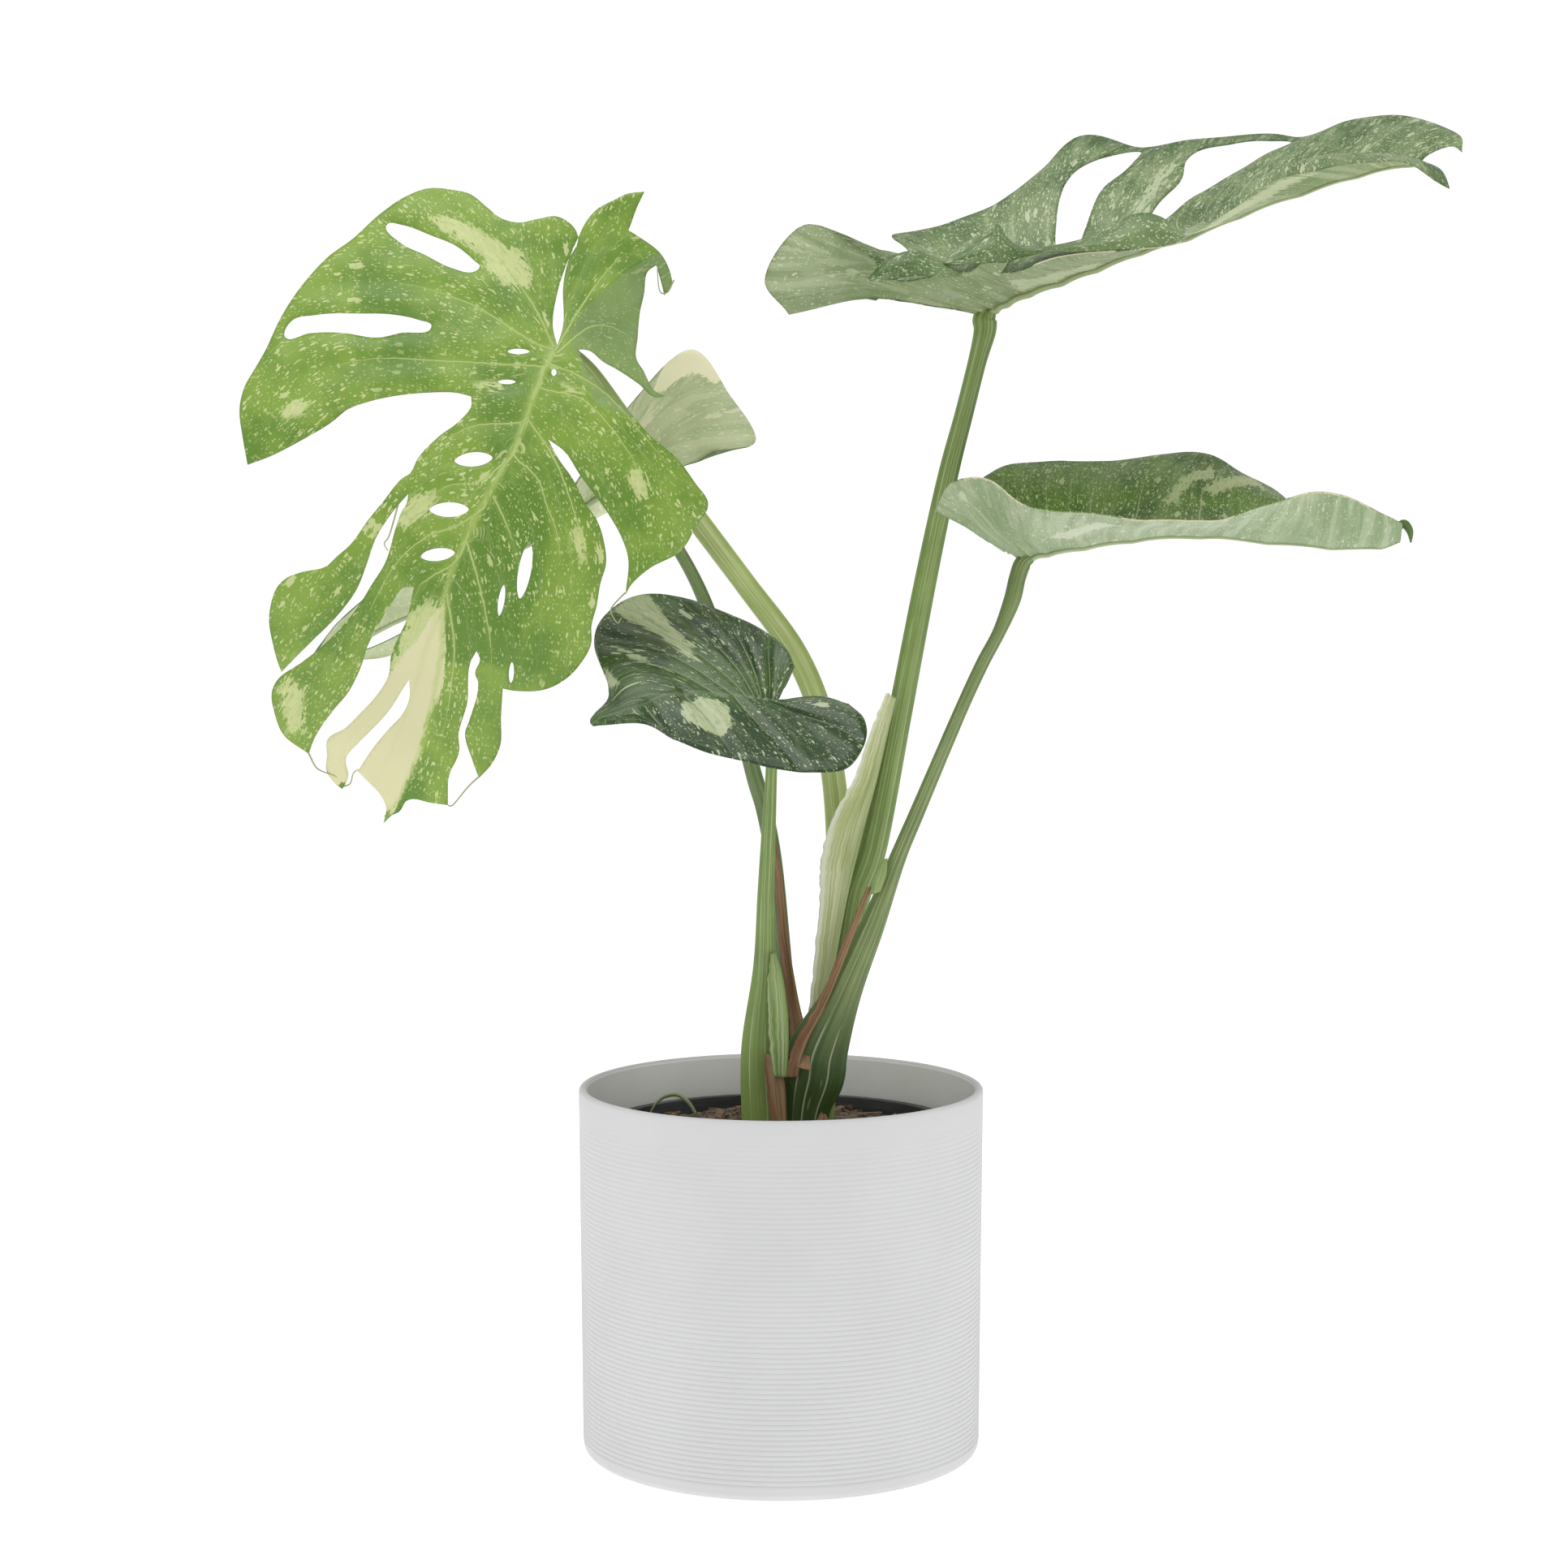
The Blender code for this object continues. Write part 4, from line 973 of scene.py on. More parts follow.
LEFT_PALE = [
    [(-42, 88), (-48, 75), (-44, 55), (-42, 35), (-32, 25), (-24, 24), (-22, 37), (-26, 47), (-34, 55),
     (-36, 70)],
    [(79, 123), (71, 119), (69, 109), (77, 109), (83, 119)],
    [(31, 32), (25, 19), (30, 18), (34, 28)],
    [(111, 46), (96, 40), (91, 30), (101, 29), (113, 38)],
    [(47, -58), (43, -62), (51, -71), (58, -72), (58, -65)],
    [(86, -42), (83, -46), (89, -51), (98, -52), (95, -46)],
    [(17, -12), (16, -20), (18, -24), (21, -16)],
    [(215, 74), (207, 72), (211, 62), (232, 56), (237, 63)],
    [(187, 22), (156, 23), (142, 14), (149, 5), (174, -1), (192, 11)],
]
LEFT_CREAM = [
    [(141, 7), (160, 0), (185, -7), (202, -4), (219, -6), (236, -5), (258, -2), (246, 21), (258, 36),
     (230, 46), (211, 32), (187, 22), (168, 15)],
]
# Painted shade: over this patch beside the midrib the blade's greens are pushed towards the deep green.
LEFT_PAINTED_SHADE = [[(90, 0), (130, 4), (168, -6), (160, -30), (120, -34), (90, -30), (66, -14)]]
left_top = leaf_paint([(92, 130, 38), (127, 158, 58), (200, 208, 146), (214, 211, 166), (170, 190, 104)])
left_under = leaf_paint(
    [(138, 156, 98), (158, 174, 118), (196, 204, 160), (214, 212, 174), (186, 198, 142)], 0.5)
left_skins = [
    material("bright blade", left_top), material("bright blade underside", left_under),
    fibrous("bright ribs", (158, 180, 98), (176, 196, 118), (196, 210, 144), (150, 168, 104)),
]
left_outline = [point for lobe in LEFT_LOBES.values() for point in lobe]
flat, faces, loops = blade(left_outline, LEFT_HOLES, 1.7, 1.7)
leaf("leaf_left_blade", "leaf_left", "leaf_bright", flat, faces, left_place, LEFT_VEINS, LEFT_MIDRIB,
     left_skins, loops, cream=LEFT_CREAM, pale=LEFT_PALE, dark=LEFT_PAINTED_SHADE, dull=[LEFT_TURNED],
     quilt=1.0, ripple=0.8, rib_size=(3.2, 0.7))

# Dried threads that still join the tips of some lobes, as they did in the bud.
LEFT_THREADS = [
    [(223, -38.5), (230, -35), (241, -31), (243, -29), (242, -27)],
    [(242, 50), (248, 44), (249, 39), (249, 32), (252, 27.5)],
    [(253, 27.5), (250, 24), (244, 24), (241, 22)],
    [(106, -78.5), (114, -75), (118, -75), (122, -80), (119, -81)],
    [(93, 47), (118, 45), (124, 46), (127, 43)], [(-56, -45), (-49, -44), (-48, -40), (-58, -35)],
]
THREAD_STEPS, THREAD_SIDES = 24, 6
points, faces = [], []
for thread in LEFT_THREADS:
    line = left_place(curve_rows(thread, THREAD_STEPS)) * MM
    tube(points, faces, line, np.linspace(0.5, 0.25, len(line)) * MM, THREAD_SIDES)
grain = rod_grain(THREAD_STEPS + 1, THREAD_SIDES, reach=0.5) * len(LEFT_THREADS)
thread_green = fibrous("dried thread", (150, 156, 112), (178, 182, 140), (204, 206, 172), (150, 150, 110))
threads = piece_of("leaf_left_threads", points, faces, [thread_green])
write_grain(threads, "grain", grain)
smooth(threads, 60)
hold(threads, "leaf_bright", "leaf_left")

# ---------------------------------------------------------------------------
# The other leaves. Thin leathery blades whose side veins leave the midrib to carry a cupped surface:
# the upper right one is split into lobes, and the others are whole.
STEP, REACH = 30.0, 100.0


def vein_place(midrib, far, near):
    """Places flat spots on the surface carried by the side veins.

    Along the flat x axis the veins leave the midrib one STEP apart. Across it, the far side's veins
    run out to -REACH and the near side's to +REACH. Each vein is its points after the midrib.
    """
    fans = [np.array([[root] + list(vein) for root, vein in zip(midrib, side)], float)
            for side in (far, near)]

    def place(spots):
        spots = np.asarray(spots, float)
        along = np.clip(spots[:, 0] / STEP, 0, len(midrib) - 1.0)
        across = np.minimum(1.0, np.abs(spots[:, 1]) / REACH) * 3
        sides = [curve_many(curve_many(fan, along).transpose(1, 0, 2), across) for fan in fans]
        return np.where((spots[:, 1] >= 0)[:, None], sides[1], sides[0])

    return place


UPPER_MIDRIB = [
    (109, 16, 617), (112, 16, 618), (116, 15, 620), (122, 14, 623), (134, 12, 628), (151, 10, 634),
    (170, 8, 641), (194, 6, 650), (218, 4, 657), (246, 2, 669), (278, 0, 680), (308, 0, 689), (336, 0, 695),
    (354, 0, 697),
]
UPPER_FAR = [
    [(98, 17, 624), (80, 18, 640), (52, 18, 652)],
    [(100, 22, 627), (84, 32, 644), (72, 40, 650)],
    [(104, 30, 634), (84, 52, 652), (62, 74, 665)],
    [(114, 34, 638), (102, 56, 656), (92, 78, 671)],
    [(128, 36, 645), (128, 62, 672), (131, 88, 690)],
    [(146, 34, 648), (150, 70, 688), (168, 104, 722)],
    [(164, 30, 652), (172, 66, 690), (204, 100, 716)],
    [(190, 28, 662), (208, 58, 690), (232, 95, 719)],
    [(214, 20, 668), (238, 46, 692), (270, 84, 721)],
    [(246, 16, 680), (264, 36, 700), (288, 62, 718)],
    [(280, 14, 692), (294, 30, 708), (312, 56, 725)],
    [(312, 14, 702), (326, 28, 713), (344, 54, 727)],
    [(342, 10, 702), (356, 24, 711), (367, 36, 716)],
    [(356, 5, 700), (361, 12, 703), (367, 20, 704)],
]
UPPER_NEAR = [
    [(86, -2, 620), (46, -40, 622), (4, -72, 612)],
    [(84, -8, 624), (44, -46, 634), (-8, -80, 630)],
    [(90, -16, 628), (50, -50, 642), (12, -84, 656)],
    [(96, -20, 632), (68, -44, 642), (40, -66, 646)],
    [(106, -22, 636), (88, -42, 643), (60, -60, 630)],
    [(124, -20, 638), (108, -44, 655), (88, -62, 634)],
    [(142, -18, 641), (130, -40, 645), (118, -60, 635)],
    [(164, -16, 645), (158, -40, 650), (148, -56, 643)],
    [(188, -18, 653), (184, -46, 664), (178, -58, 646)],
    [(214, -16, 657), (210, -34, 658), (208, -47, 651)],
    [(244, -12, 676), (238, -26, 676), (232, -38, 668)],
    [(276, -12, 692), (270, -26, 694), (266, -40, 686)],
    [(316, -10, 700), (318, -22, 698), (322, -34, 694)],
    [(346, -8, 696), (349, -20, 690), (350, -32, 679)],
]
LOWER_MIDRIB = [
    (127, -16, 486), (130, -17, 486), (134, -17, 487), (142, -18, 489), (161, -20, 492), (186, -22, 496),
    (222, -24, 498), (258, -26, 495), (291, -28, 492), (317, -30, 492), (327, -32, 495),
]
LOWER_FAR = [
    [(118, -4, 497), (110, 10, 516), (108, 22, 528)],
    [(124, 2, 500), (116, 20, 519), (114, 38, 532)],
    [(132, 5, 503), (128, 26, 523), (129, 50, 538)],
    [(144, 8, 505), (145, 30, 525), (151, 57, 540)],
    [(166, 8, 507), (172, 34, 526), (183, 63, 539)],
    [(192, 8, 510), (200, 36, 529), (214, 66, 543)],
    [(226, 6, 512), (232, 32, 529), (242, 60, 541)],
    [(260, 0, 506), (263, 22, 520), (268, 46, 525)],
    [(291, -10, 500), (291, 8, 508), (292, 28, 509)],
    [(316, -22, 498), (314, -11, 503), (312, 4, 504)],
    [(327, -30, 505), (327, -28, 505), (327, -25, 505)],
]
LOWER_NEAR = [
    [(112, -30, 494), (96, -43, 504), (80, -54, 512)],
    [(114, -36, 498), (100, -52, 512), (88, -68, 525)],
    [(120, -42, 499), (112, -60, 513), (106, -79, 528)],
    [(132, -42, 496), (128, -64, 504), (126, -85, 515)],
    [(156, -42, 498), (155, -66, 504), (156, -88, 511)],
    [(184, -44, 501), (184, -66, 503), (187, -88, 506)],
    [(222, -44, 503), (223, -64, 504), (225, -84, 507)],
    [(258, -42, 500), (260, -60, 508), (262, -76, 519)],
    [(290, -42, 498), (290, -56, 508), (290, -66, 520)],
    [(317, -38, 496), (317, -45, 503), (315, -50, 510)],
    [(327, -34, 497), (327, -36, 501), (327, -38, 505)],
]
FRONT_MIDRIB = [
    (-3, -63, 411), (-6, -63, 412), (-10, -64, 413), (-15, -65, 414), (-22, -67, 415), (-35, -70, 416),
    (-47, -73, 416), (-60, -77, 415), (-70, -80, 411), (-82, -83, 407), (-97, -86, 402),
]
FRONT_FAR = [
    [(0, -60, 417), (4, -56, 424), (7, -52, 430)],
    [(-3, -55, 421), (0, -48, 431), (3, -40, 439)],
    [(-9, -52, 426), (-8, -42, 437), (-6, -29, 446)],
    [(-17, -50, 430), (-19, -34, 444), (-21, -16, 454)],
    [(-29, -48, 434), (-36, -29, 450), (-45, -6, 463)],
    [(-45, -49, 436), (-56, -29, 452), (-68, -4, 467)],
    [(-60, -53, 435), (-71, -33, 450), (-84, -9, 464)],
    [(-72, -62, 430), (-83, -43, 442), (-96, -22, 453)],
    [(-79, -70, 421), (-88, -56, 431), (-98, -42, 440)],
    [(-86, -78, 410), (-87, -72, 413), (-89, -66, 417)],
    [(-98, -85, 403), (-98, -84, 404), (-98, -83, 405)],
]
FRONT_NEAR = [
    [(8, -63, 414), (22, -64, 415), (35, -70, 412)],
    [(11, -67, 411), (27, -71, 410), (43, -80, 404)],
    [(11, -73, 406), (27, -82, 401), (43, -94, 393)],
    [(4, -77, 404), (18, -90, 394), (33, -107, 381)],
    [(-11, -79, 404), (1, -94, 393), (14, -112, 380)],
    [(-24, -81, 405), (-14, -95, 394), (-3, -112, 382)],
    [(-36, -83, 406), (-28, -95, 396), (-20, -110, 385)],
    [(-51, -85, 406), (-45, -95, 398), (-38, -106, 389)],
    [(-65, -86, 405), (-60, -93, 400), (-55, -101, 396)],
    [(-79, -86, 405), (-75, -91, 404), (-70, -96, 403)],
    [(-97, -87, 402), (-96, -88, 402), (-96, -89, 402)],
]
BACK_MIDRIB = [
    (-84, 61, 530), (-87, 62, 528), (-92, 63, 525), (-100, 65, 520), (-119, 68, 507), (-140, 72, 494),
    (-156, 76, 484), (-193, 84, 461), (-235, 90, 441), (-262, 93, 426), (-270, 94, 421),
]
BACK_UP = [
    [(-70, 58, 532), (-55, 55, 536), (-38, 50, 544)],
    [(-62, 52, 542), (-40, 50, 548), (-14, 48, 550)],
    [(-72, 50, 552), (-52, 47, 568), (-28, 46, 575)],
    [(-84, 50, 550), (-66, 46, 575), (-50, 44, 600)],
    [(-104, 52, 534), (-92, 46, 552), (-84, 42, 568)],
    [(-135, 64, 499), (-131, 55, 504), (-126, 46, 509)],
    [(-153, 68, 488), (-148, 58, 494), (-142, 48, 499)],
    [(-190, 76, 467), (-187, 66, 472), (-184, 56, 476)],
    [(-232, 80, 454), (-228, 70, 462), (-222, 58, 470)],
    [(-260, 88, 432), (-257, 82, 438), (-253, 76, 444)],
    [(-270, 93, 422), (-269, 92, 423), (-268, 91, 424)],
]
BACK_LOW = [
    [(-78, 64, 530), (-68, 66, 532), (-56, 66, 538)],
    [(-82, 68, 525), (-76, 72, 524), (-68, 76, 526)],
    [(-88, 72, 519), (-84, 80, 514), (-80, 86, 514)],
    [(-98, 76, 516), (-97, 88, 513), (-98, 98, 512)],
    [(-120, 80, 503), (-121, 92, 499), (-124, 102, 497)],
    [(-141, 84, 492), (-143, 96, 491), (-146, 106, 490)],
    [(-160, 88, 479), (-166, 100, 474), (-172, 108, 469)],
    [(-200, 96, 447), (-206, 106, 439), (-212, 111, 434)],
    [(-238, 98, 433), (-242, 103, 429), (-245, 106, 426)],
    [(-263, 96, 423), (-264, 98, 421), (-265, 99, 420)],
    [(-270, 95, 420), (-270, 96, 419), (-270, 97, 418)],
]


def lofted(name, node, slot, midrib, far, near, skins, outline=None, holes=(), cream=(), pale=(), dark=(),
           grid=2.6,
           numbers=None, sweep=0.0, **more):
    """A leaf carried by its side veins, with patches given as (vein number, share of the way out)."""

    def scaled(loop):
        return [(s * STEP, t * REACH) for s, t in loop]

    end = float(len(midrib) - 1)
    if outline is None:
        outline = [(0.0, 1.0), (end, 1.0), (end, -1.0), (0.0, -1.0), (0.0, -0.04), (0.1, 0.0), (0.0, 0.04)]
    place = vein_place(midrib, far, near)
    flat, faces, loops = blade(scaled(outline), [scaled(hole) for hole in holes], grid, 2.5)
    numbers = numbers or [(k, side) for k in range(1, len(midrib) - 1) for side in (-1, 1)]

    def swept(share):
        """How much nearer the joint a vein is at this share of its way out than at the margin."""
        return 1 - sweep * (1 - share) ** 1.6

    shares = np.linspace(0, 1, 9 if sweep else 2)
    veins = [
        [(k * (swept(t) if side < 0 else 1) * STEP, side * t * REACH) for t in shares] for k, side in numbers
    ]
    line = [(x, 0.0) for x in np.linspace(3, (end - 0.15) * STEP, 40)]

    def measure(spots):
        """How far out along its vein, and how far to the side of it, each spot lies in millimetres."""
        bend = np.where(spots[:, 1] < 0, swept(np.minimum(1.0, np.abs(spots[:, 1]) / REACH)), 1.0) * STEP
        number = np.round(spots[:, 0] / bend)
        here, root = place(spots), place(spots * (1, 0))
        vein = place(np.column_stack([number * bend, spots[:, 1]]))
        aside = np.linalg.norm(here - vein, axis=1) * np.sign(spots[:, 0] - number * bend)
        lane = aside + VEIN_LANE * number + SIDE_LANE * (spots[:, 1] < 0)
        return np.linalg.norm(here - root, axis=1), lane

    shown = [[scaled(loop) for loop in group] for group in (cream, pale, dark)]
    leaf(name, node, slot, flat, faces, place, veins, line, skins, loops,
         cream=shown[0], pale=shown[1], dark=shown[2], measure=measure, **more)


def three_skins(name, top, under, rib):
    """The finishes of a blade's upper face, its underside and its ribs."""
    ribs = stalk_paint(between(rib, (0, 0, 0), 0.12), rib, between(rib, (1, 1, 1), 0.12), rib)
    kinds = ((" blade", leaf_paint(*top)), (" blade underside", leaf_paint(*under)), (" ribs", ribs))
    return [material(name + kind, paint) for kind, paint in kinds]


upper_skins = three_skins(
    "mid",
    ([(66, 96, 42), (114, 136, 84), (194, 202, 166), (218, 214, 176), (140, 160, 106)], 0.34, 1.5, 0.22),
    ([(126, 144, 98), (150, 164, 124), (196, 204, 168), (216, 212, 178), (186, 192, 158)], 0.5, 0.8, 0.5),
    srgb(172, 186, 138),
)
UPPER_HOLES = [
    [(5.35, -0.33), (5.25, -0.55), (5.4, -0.75), (5.75, -0.9), (6.0, -0.965), (6.25, -0.85), (6.2, -0.65),
     (6.05, -0.45), (5.75, -0.33)],
    [(7.4, -0.3), (7.25, -0.5), (7.3, -0.7), (7.15, -0.9), (7.6, -0.95), (8.2, -0.95), (8.8, -0.95),
     (8.9, -0.92), (8.5, -0.75), (8.0, -0.55), (7.7, -0.38), (7.5, -0.3)],
]
UPPER_OUTLINE = [
    (0.0, 1.0), (5.35, 1.0), (5.5, 0.55), (5.7, 0.55), (5.85, 1.0), (9.0, 1.0), (9.15, 0.65),
    (9.4, 0.65), (9.6, 1.0), (11.9, 1.0), (12.6, 1.0), (13.0, 0.98), (12.95, 0.7), (12.8, 0.4),
    (12.4, 0.15), (12.25, 0.0), (12.2, -0.2), (12.3, -0.5), (12.6, -0.8), (12.95, -1.0), (0.0, -1.0),
    (0.0, -0.04), (0.1, 0.0), (0.0, 0.04),
]
UPPER_PALE = [
    [(6.86, -0.8), (7.04, -0.85), (7.0, -0.3), (6.86, -0.3)],
    [(4.0, 0.04), (6.4, 0.05), (6.2, 0.14), (4.2, 0.2)],
    [(7.2, 0.1), (11.0, 0.2), (10.6, 0.3), (7.6, 0.2)],
]
UPPER_CREAM = [[(k, 0.985), (k + 1.4, 0.985), (k + 1.4, 1.05), (k, 1.05)] for k in (6.4, 8.2)]
lofted("leaf_upper_right_blade", "leaf_upper_right", "leaf_mid", UPPER_MIDRIB, UPPER_FAR, UPPER_NEAR,
       upper_skins, UPPER_OUTLINE, UPPER_HOLES, cream=UPPER_CREAM, pale=UPPER_PALE,
       quilt=0.8, ripple=1.0, seed=2.0, rib_size=(3.0, 0.7), vein_size=(0.7, 0.2))


SHEATH_STEP = 1.6


def sheath(name, node, slot, edges, finish, bow, ragged=1.0, thickness=0.5):
    """A strip between two edges, each row its left and right point in millimetres, bowed to the front."""
    edges = np.asarray(edges, float)
    across = 12
    count = int(np.linalg.norm(np.diff(edges[:, 0], axis=0), axis=1).sum() / SHEATH_STEP)
    points, grain, flow, faces = [], [], [], []
    for k, row in enumerate(curve_rows(edges, count)):
        for j in range(across + 1):
            share = j / across
            spot = row[0] + (row[1] - row[0]) * share
            tear = noise.noise(Vector((k * 0.35, 3.0 + j * 0.05, len(name)))) * ragged * (1 - share)
            spot = spot + (tear, -bow * math.sin(math.pi * share), 0)
            if k == 0:
                spot[2] += ragged * 2.2 * noise.noise(Vector((j * 0.8, 1.0, len(name))))
            points.append(spot * MM)
            grain.append((share * 2, 0.0, k * 0.016))
            flow.append((k * SHEATH_STEP, share * 12.0, 0.0))
    for k in range(count):
        for j in range(across):
            a = k * (across + 1) + j
            faces.append((a, a + 1, a + across + 2, a + across + 1))
    piece = piece_of(name, points, faces, [finish])
    write_grain(piece, "grain", grain)
    write_grain(piece, "flow", flow)
    for patch in ("cream", "pale", "dull"):
        write_grain(piece, patch, np.full(len(points), -100.0))
    thickened(piece, thickness)
    hold(piece, slot, *([node] if node else []))


# Three near lobes of this leaf curl up over its margin. They are thin strips, with the blade's finish.
LOBES = [
    [
        [(131, -52, 647), (131, -57, 645)], [(152, -50, 651), (150, -58, 645)],
        [(170, -49, 657), (170, -59, 646)], [(183, -48, 665), (186, -58, 647)],
        [(196, -50, 664), (198, -55, 648.5)], [(209, -52, 654), (209, -53, 652.5)],
    ],
    [
        [(84, -62, 640), (84, -64, 638)], [(98, -61, 648), (98, -65, 638)],
        [(109, -59, 655), (109, -65, 639)], [(112, -59, 659), (114, -65, 639)],
        [(119, -58, 650), (121, -64, 641)], [(132, -56, 646), (132, -60, 644)],
    ],
    [
        [(45, -67, 631), (46, -68, 629)], [(55, -66, 641), (56, -69, 630)],
        [(68, -64, 645), (68, -69, 632)], [(80, -63, 641), (80, -67, 632)],
        [(93, -62, 634), (93, -63, 632)],
    ],
]
for number, edges in enumerate(LOBES, 1):
    name = "leaf_upper_right_lobe_%d" % number
    sheath(name, "leaf_upper_right", "leaf_mid", edges, upper_skins[0], bow=4.0, ragged=0.3, thickness=0.6)

lower_skins = three_skins(
    "dark",
    ([(60, 96, 24), (100, 134, 50), (194, 204, 152), (214, 210, 172), (120, 148, 76)], 0.34, 1.6, 0.15),
    ([(129, 149, 107), (151, 166, 130), (190, 198, 170), (210, 206, 172), (176, 186, 150)], 0.5, 0.9, 0.5),
    srgb(170, 184, 142),
)
LOWER_PALE = [
    [(5.4, -0.4), (5.6, -0.65), (6.0, -0.85), (6.2, -0.7), (5.8, -0.6), (5.6, -0.4)],
    [(6.0, -0.55), (6.7, -1.0), (7.0, -0.85), (6.2, -0.5)],
    [(3.4, 0.4), (4.3, 0.8), (4.7, 0.7), (3.8, 0.3)],
]
LOWER_CREAM = [[(k, 0.985), (k + 1.6, 0.985), (k + 1.6, 1.05), (k, 1.05)] for k in (1.4, 4.6, 7.0)]
lofted("leaf_lower_right_blade", "leaf_lower_right", "leaf_dark", LOWER_MIDRIB, LOWER_FAR, LOWER_NEAR,
       lower_skins, cream=LOWER_CREAM, pale=LOWER_PALE, quilt=0.6, ripple=1.0, seed=3.0,
       rib_size=(2.6, 0.6), vein_size=(0.6, 0.2))


def sprout(name, node, slot, rings, steps, sides, flat, finish):
    """One flattened tube through rings of (x, y, z, width) in millimetres."""
    rows = curve_rows(rings, steps) * MM
    points, faces = [], []
    tube(points, faces, rows[:, :3], rows[:, 3] / 2, sides, flat)
    piece = piece_of(name, points, faces, [finish])
    write_grain(piece, "grain", rod_grain(steps + 1, sides, turn=2 * math.pi / sides))
    smooth(piece, 60)
    hold(piece, slot, node)


tip_green = fibrous("drip tip", (70, 96, 40), (92, 118, 58), (150, 168, 112), (70, 90, 44))
sprout("leaf_lower_right_drip_tip", "leaf_lower_right", "leaf_dark", [
    (319, -32, 497, 3), (325, -31, 502, 5), (329, -31, 505, 6), (332, -32, 501, 5), (332.5, -33, 495, 1),
], 24, 12, 0.75, tip_green)

front_skins = three_skins(
    "deep green",
    ([(34, 62, 20), (66, 95, 43), (190, 200, 158), (204, 206, 166), (104, 126, 82)], 0.27, 0.7, 0.12),
    ([(106, 124, 88), (132, 146, 112), (180, 188, 158), (208, 206, 172), (160, 170, 134)], 0.5, 0.7, 0.3),
    srgb(140, 154, 116),
)
# Pale patches: partly the blade's own pale marbling, and partly a painted sheen, a grey-white streak where
# the glossy blade reflects the bright surround.
FRONT_PALE_AND_SHEEN = [
    [(6.5, -0.97), (5.6, -1.05), (5.2, -0.95), (5.25, -0.7), (4.95, -0.35), (5.3, -0.3), (6.0, -0.6),
     (6.4, -0.8)],
    [(6.6, 0.12), (5.8, 0.06), (5.2, 0.1), (4.9, 0.2), (5.2, 0.34), (5.5, 0.5), (6.1, 0.66), (6.7, 0.62),
     (7.0, 0.45), (6.9, 0.25)],
    [(8.3, -0.85), (8.2, -0.4), (8.6, -0.6), (8.8, -1.05)],
    [(7.6, -0.8), (6.6, -0.32), (5.9, -0.12), (6.2, -0.2), (7.1, -0.45)],
]
# Painted shade: the lower half of the blade and two patches on its upper half are pushed towards the deep
# green.
FRONT_PAINTED_SHADE = [
    [(1.0, 0.3), (9.0, 0.3), (9.0, 1.05), (1.0, 1.05)],
    [(2.2, -0.3), (2.6, -1.0), (4.6, -1.0), (4.4, -0.4)],
    [(5.6, -0.35), (7.4, -0.95), (8.0, -0.9), (6.6, -0.3)],
]
lofted("leaf_front_blade", "leaf_front", "leaf_grey", FRONT_MIDRIB, FRONT_FAR, FRONT_NEAR, front_skins,
       pale=FRONT_PALE_AND_SHEEN, dark=FRONT_PAINTED_SHADE, turned_over=True, quilt=1.9, ripple=0.5, seed=4.0, grid=2.4,
       numbers=[(k, -1) for k in (2, 3.6, 5, 6.3, 7.5, 8.7)] + [(k, 1) for k in (2, 4.2, 6.2, 8)],
       sweep=0.45, rib_size=(1.8, 0.4), vein_size=(0.5, 0.2))

back_skins = three_skins(
    "shaded",
    ([(72, 98, 60), (104, 126, 86), (176, 186, 148), (214, 210, 172), (150, 164, 122)], 0.36, 1.0, 0.3),
    ([(172, 184, 138), (194, 204, 164), (222, 222, 186), (240, 236, 200), (206, 212, 172)], 0.5, 0.9, 0.4),
    srgb(176, 188, 146),
)
BACK_CREAM = [
    [(3.4, -0.72), (3.5, -1.05), (2.3, -1.05), (2.25, -0.95), (2.6, -0.88), (2.75, -0.8), (3.0, -0.7)],
]
BACK_PALE = [[(4.3, -0.45), (4.6, -0.95), (3.9, -0.9), (3.8, -0.55)],
             [(2.5, -0.45), (3.2, -0.65), (3.0, -0.3)]]
BACK_HOLES = [[(7.1, 0.1), (7.6, 0.3), (8.5, 0.42), (8.8, 0.28), (8.0, 0.08)]]
lofted("leaf_back_blade", "leaf_back", "leaf_grey", BACK_MIDRIB, BACK_UP, BACK_LOW, back_skins,
       holes=BACK_HOLES, cream=BACK_CREAM, pale=BACK_PALE,
       quilt=0.6, ripple=0.8, seed=5.0, rib_size=(2.6, 0.6), vein_size=(0.6, 0.2))

# ---------------------------------------------------------------------------
# Sheaths. The cream membranous sheath that the upper right stalk grew out of, and older ones dried
# brown and papery, all still clasping the foot of the stalks.


def sheath_paint(low, high, line, rough, hem=0.0):
    """A membrane's skin: blotched, with drawn-out fibres, and paler along its outer hem."""
    low, high, line = (srgb(*colour) for colour in (low, high, line))

    def paint(start):
        grain = read_grain(start, "grain", 1)
        fibre = grain.stretch(9.0, 9.0, 0.8).noise(1.0, 4.0, 0.6)
        patch = grain.stretch(2.0, 2.0, 2.0).noise(1.0, 3.0)
        skin = patch.rise(0.35, 0.65).tint(low, high)
        across = grain.part(0)
        skin = (fibre.rise(0.5, 0.66) * 0.7).tint(skin, line)
        skin = (across.rise(1.0, 2.0) * hem * 0.6).tint(skin, line)
        return {
            "Base Color": ((across + fibre * 0.5).fall(0.35, 0.8) * hem).tint(skin, srgb(232, 234, 214)),
            "Roughness": rough + fibre * 0.1,
            "Normal": bumped(fibre, 0.4, 0.0008),
        }

    return paint


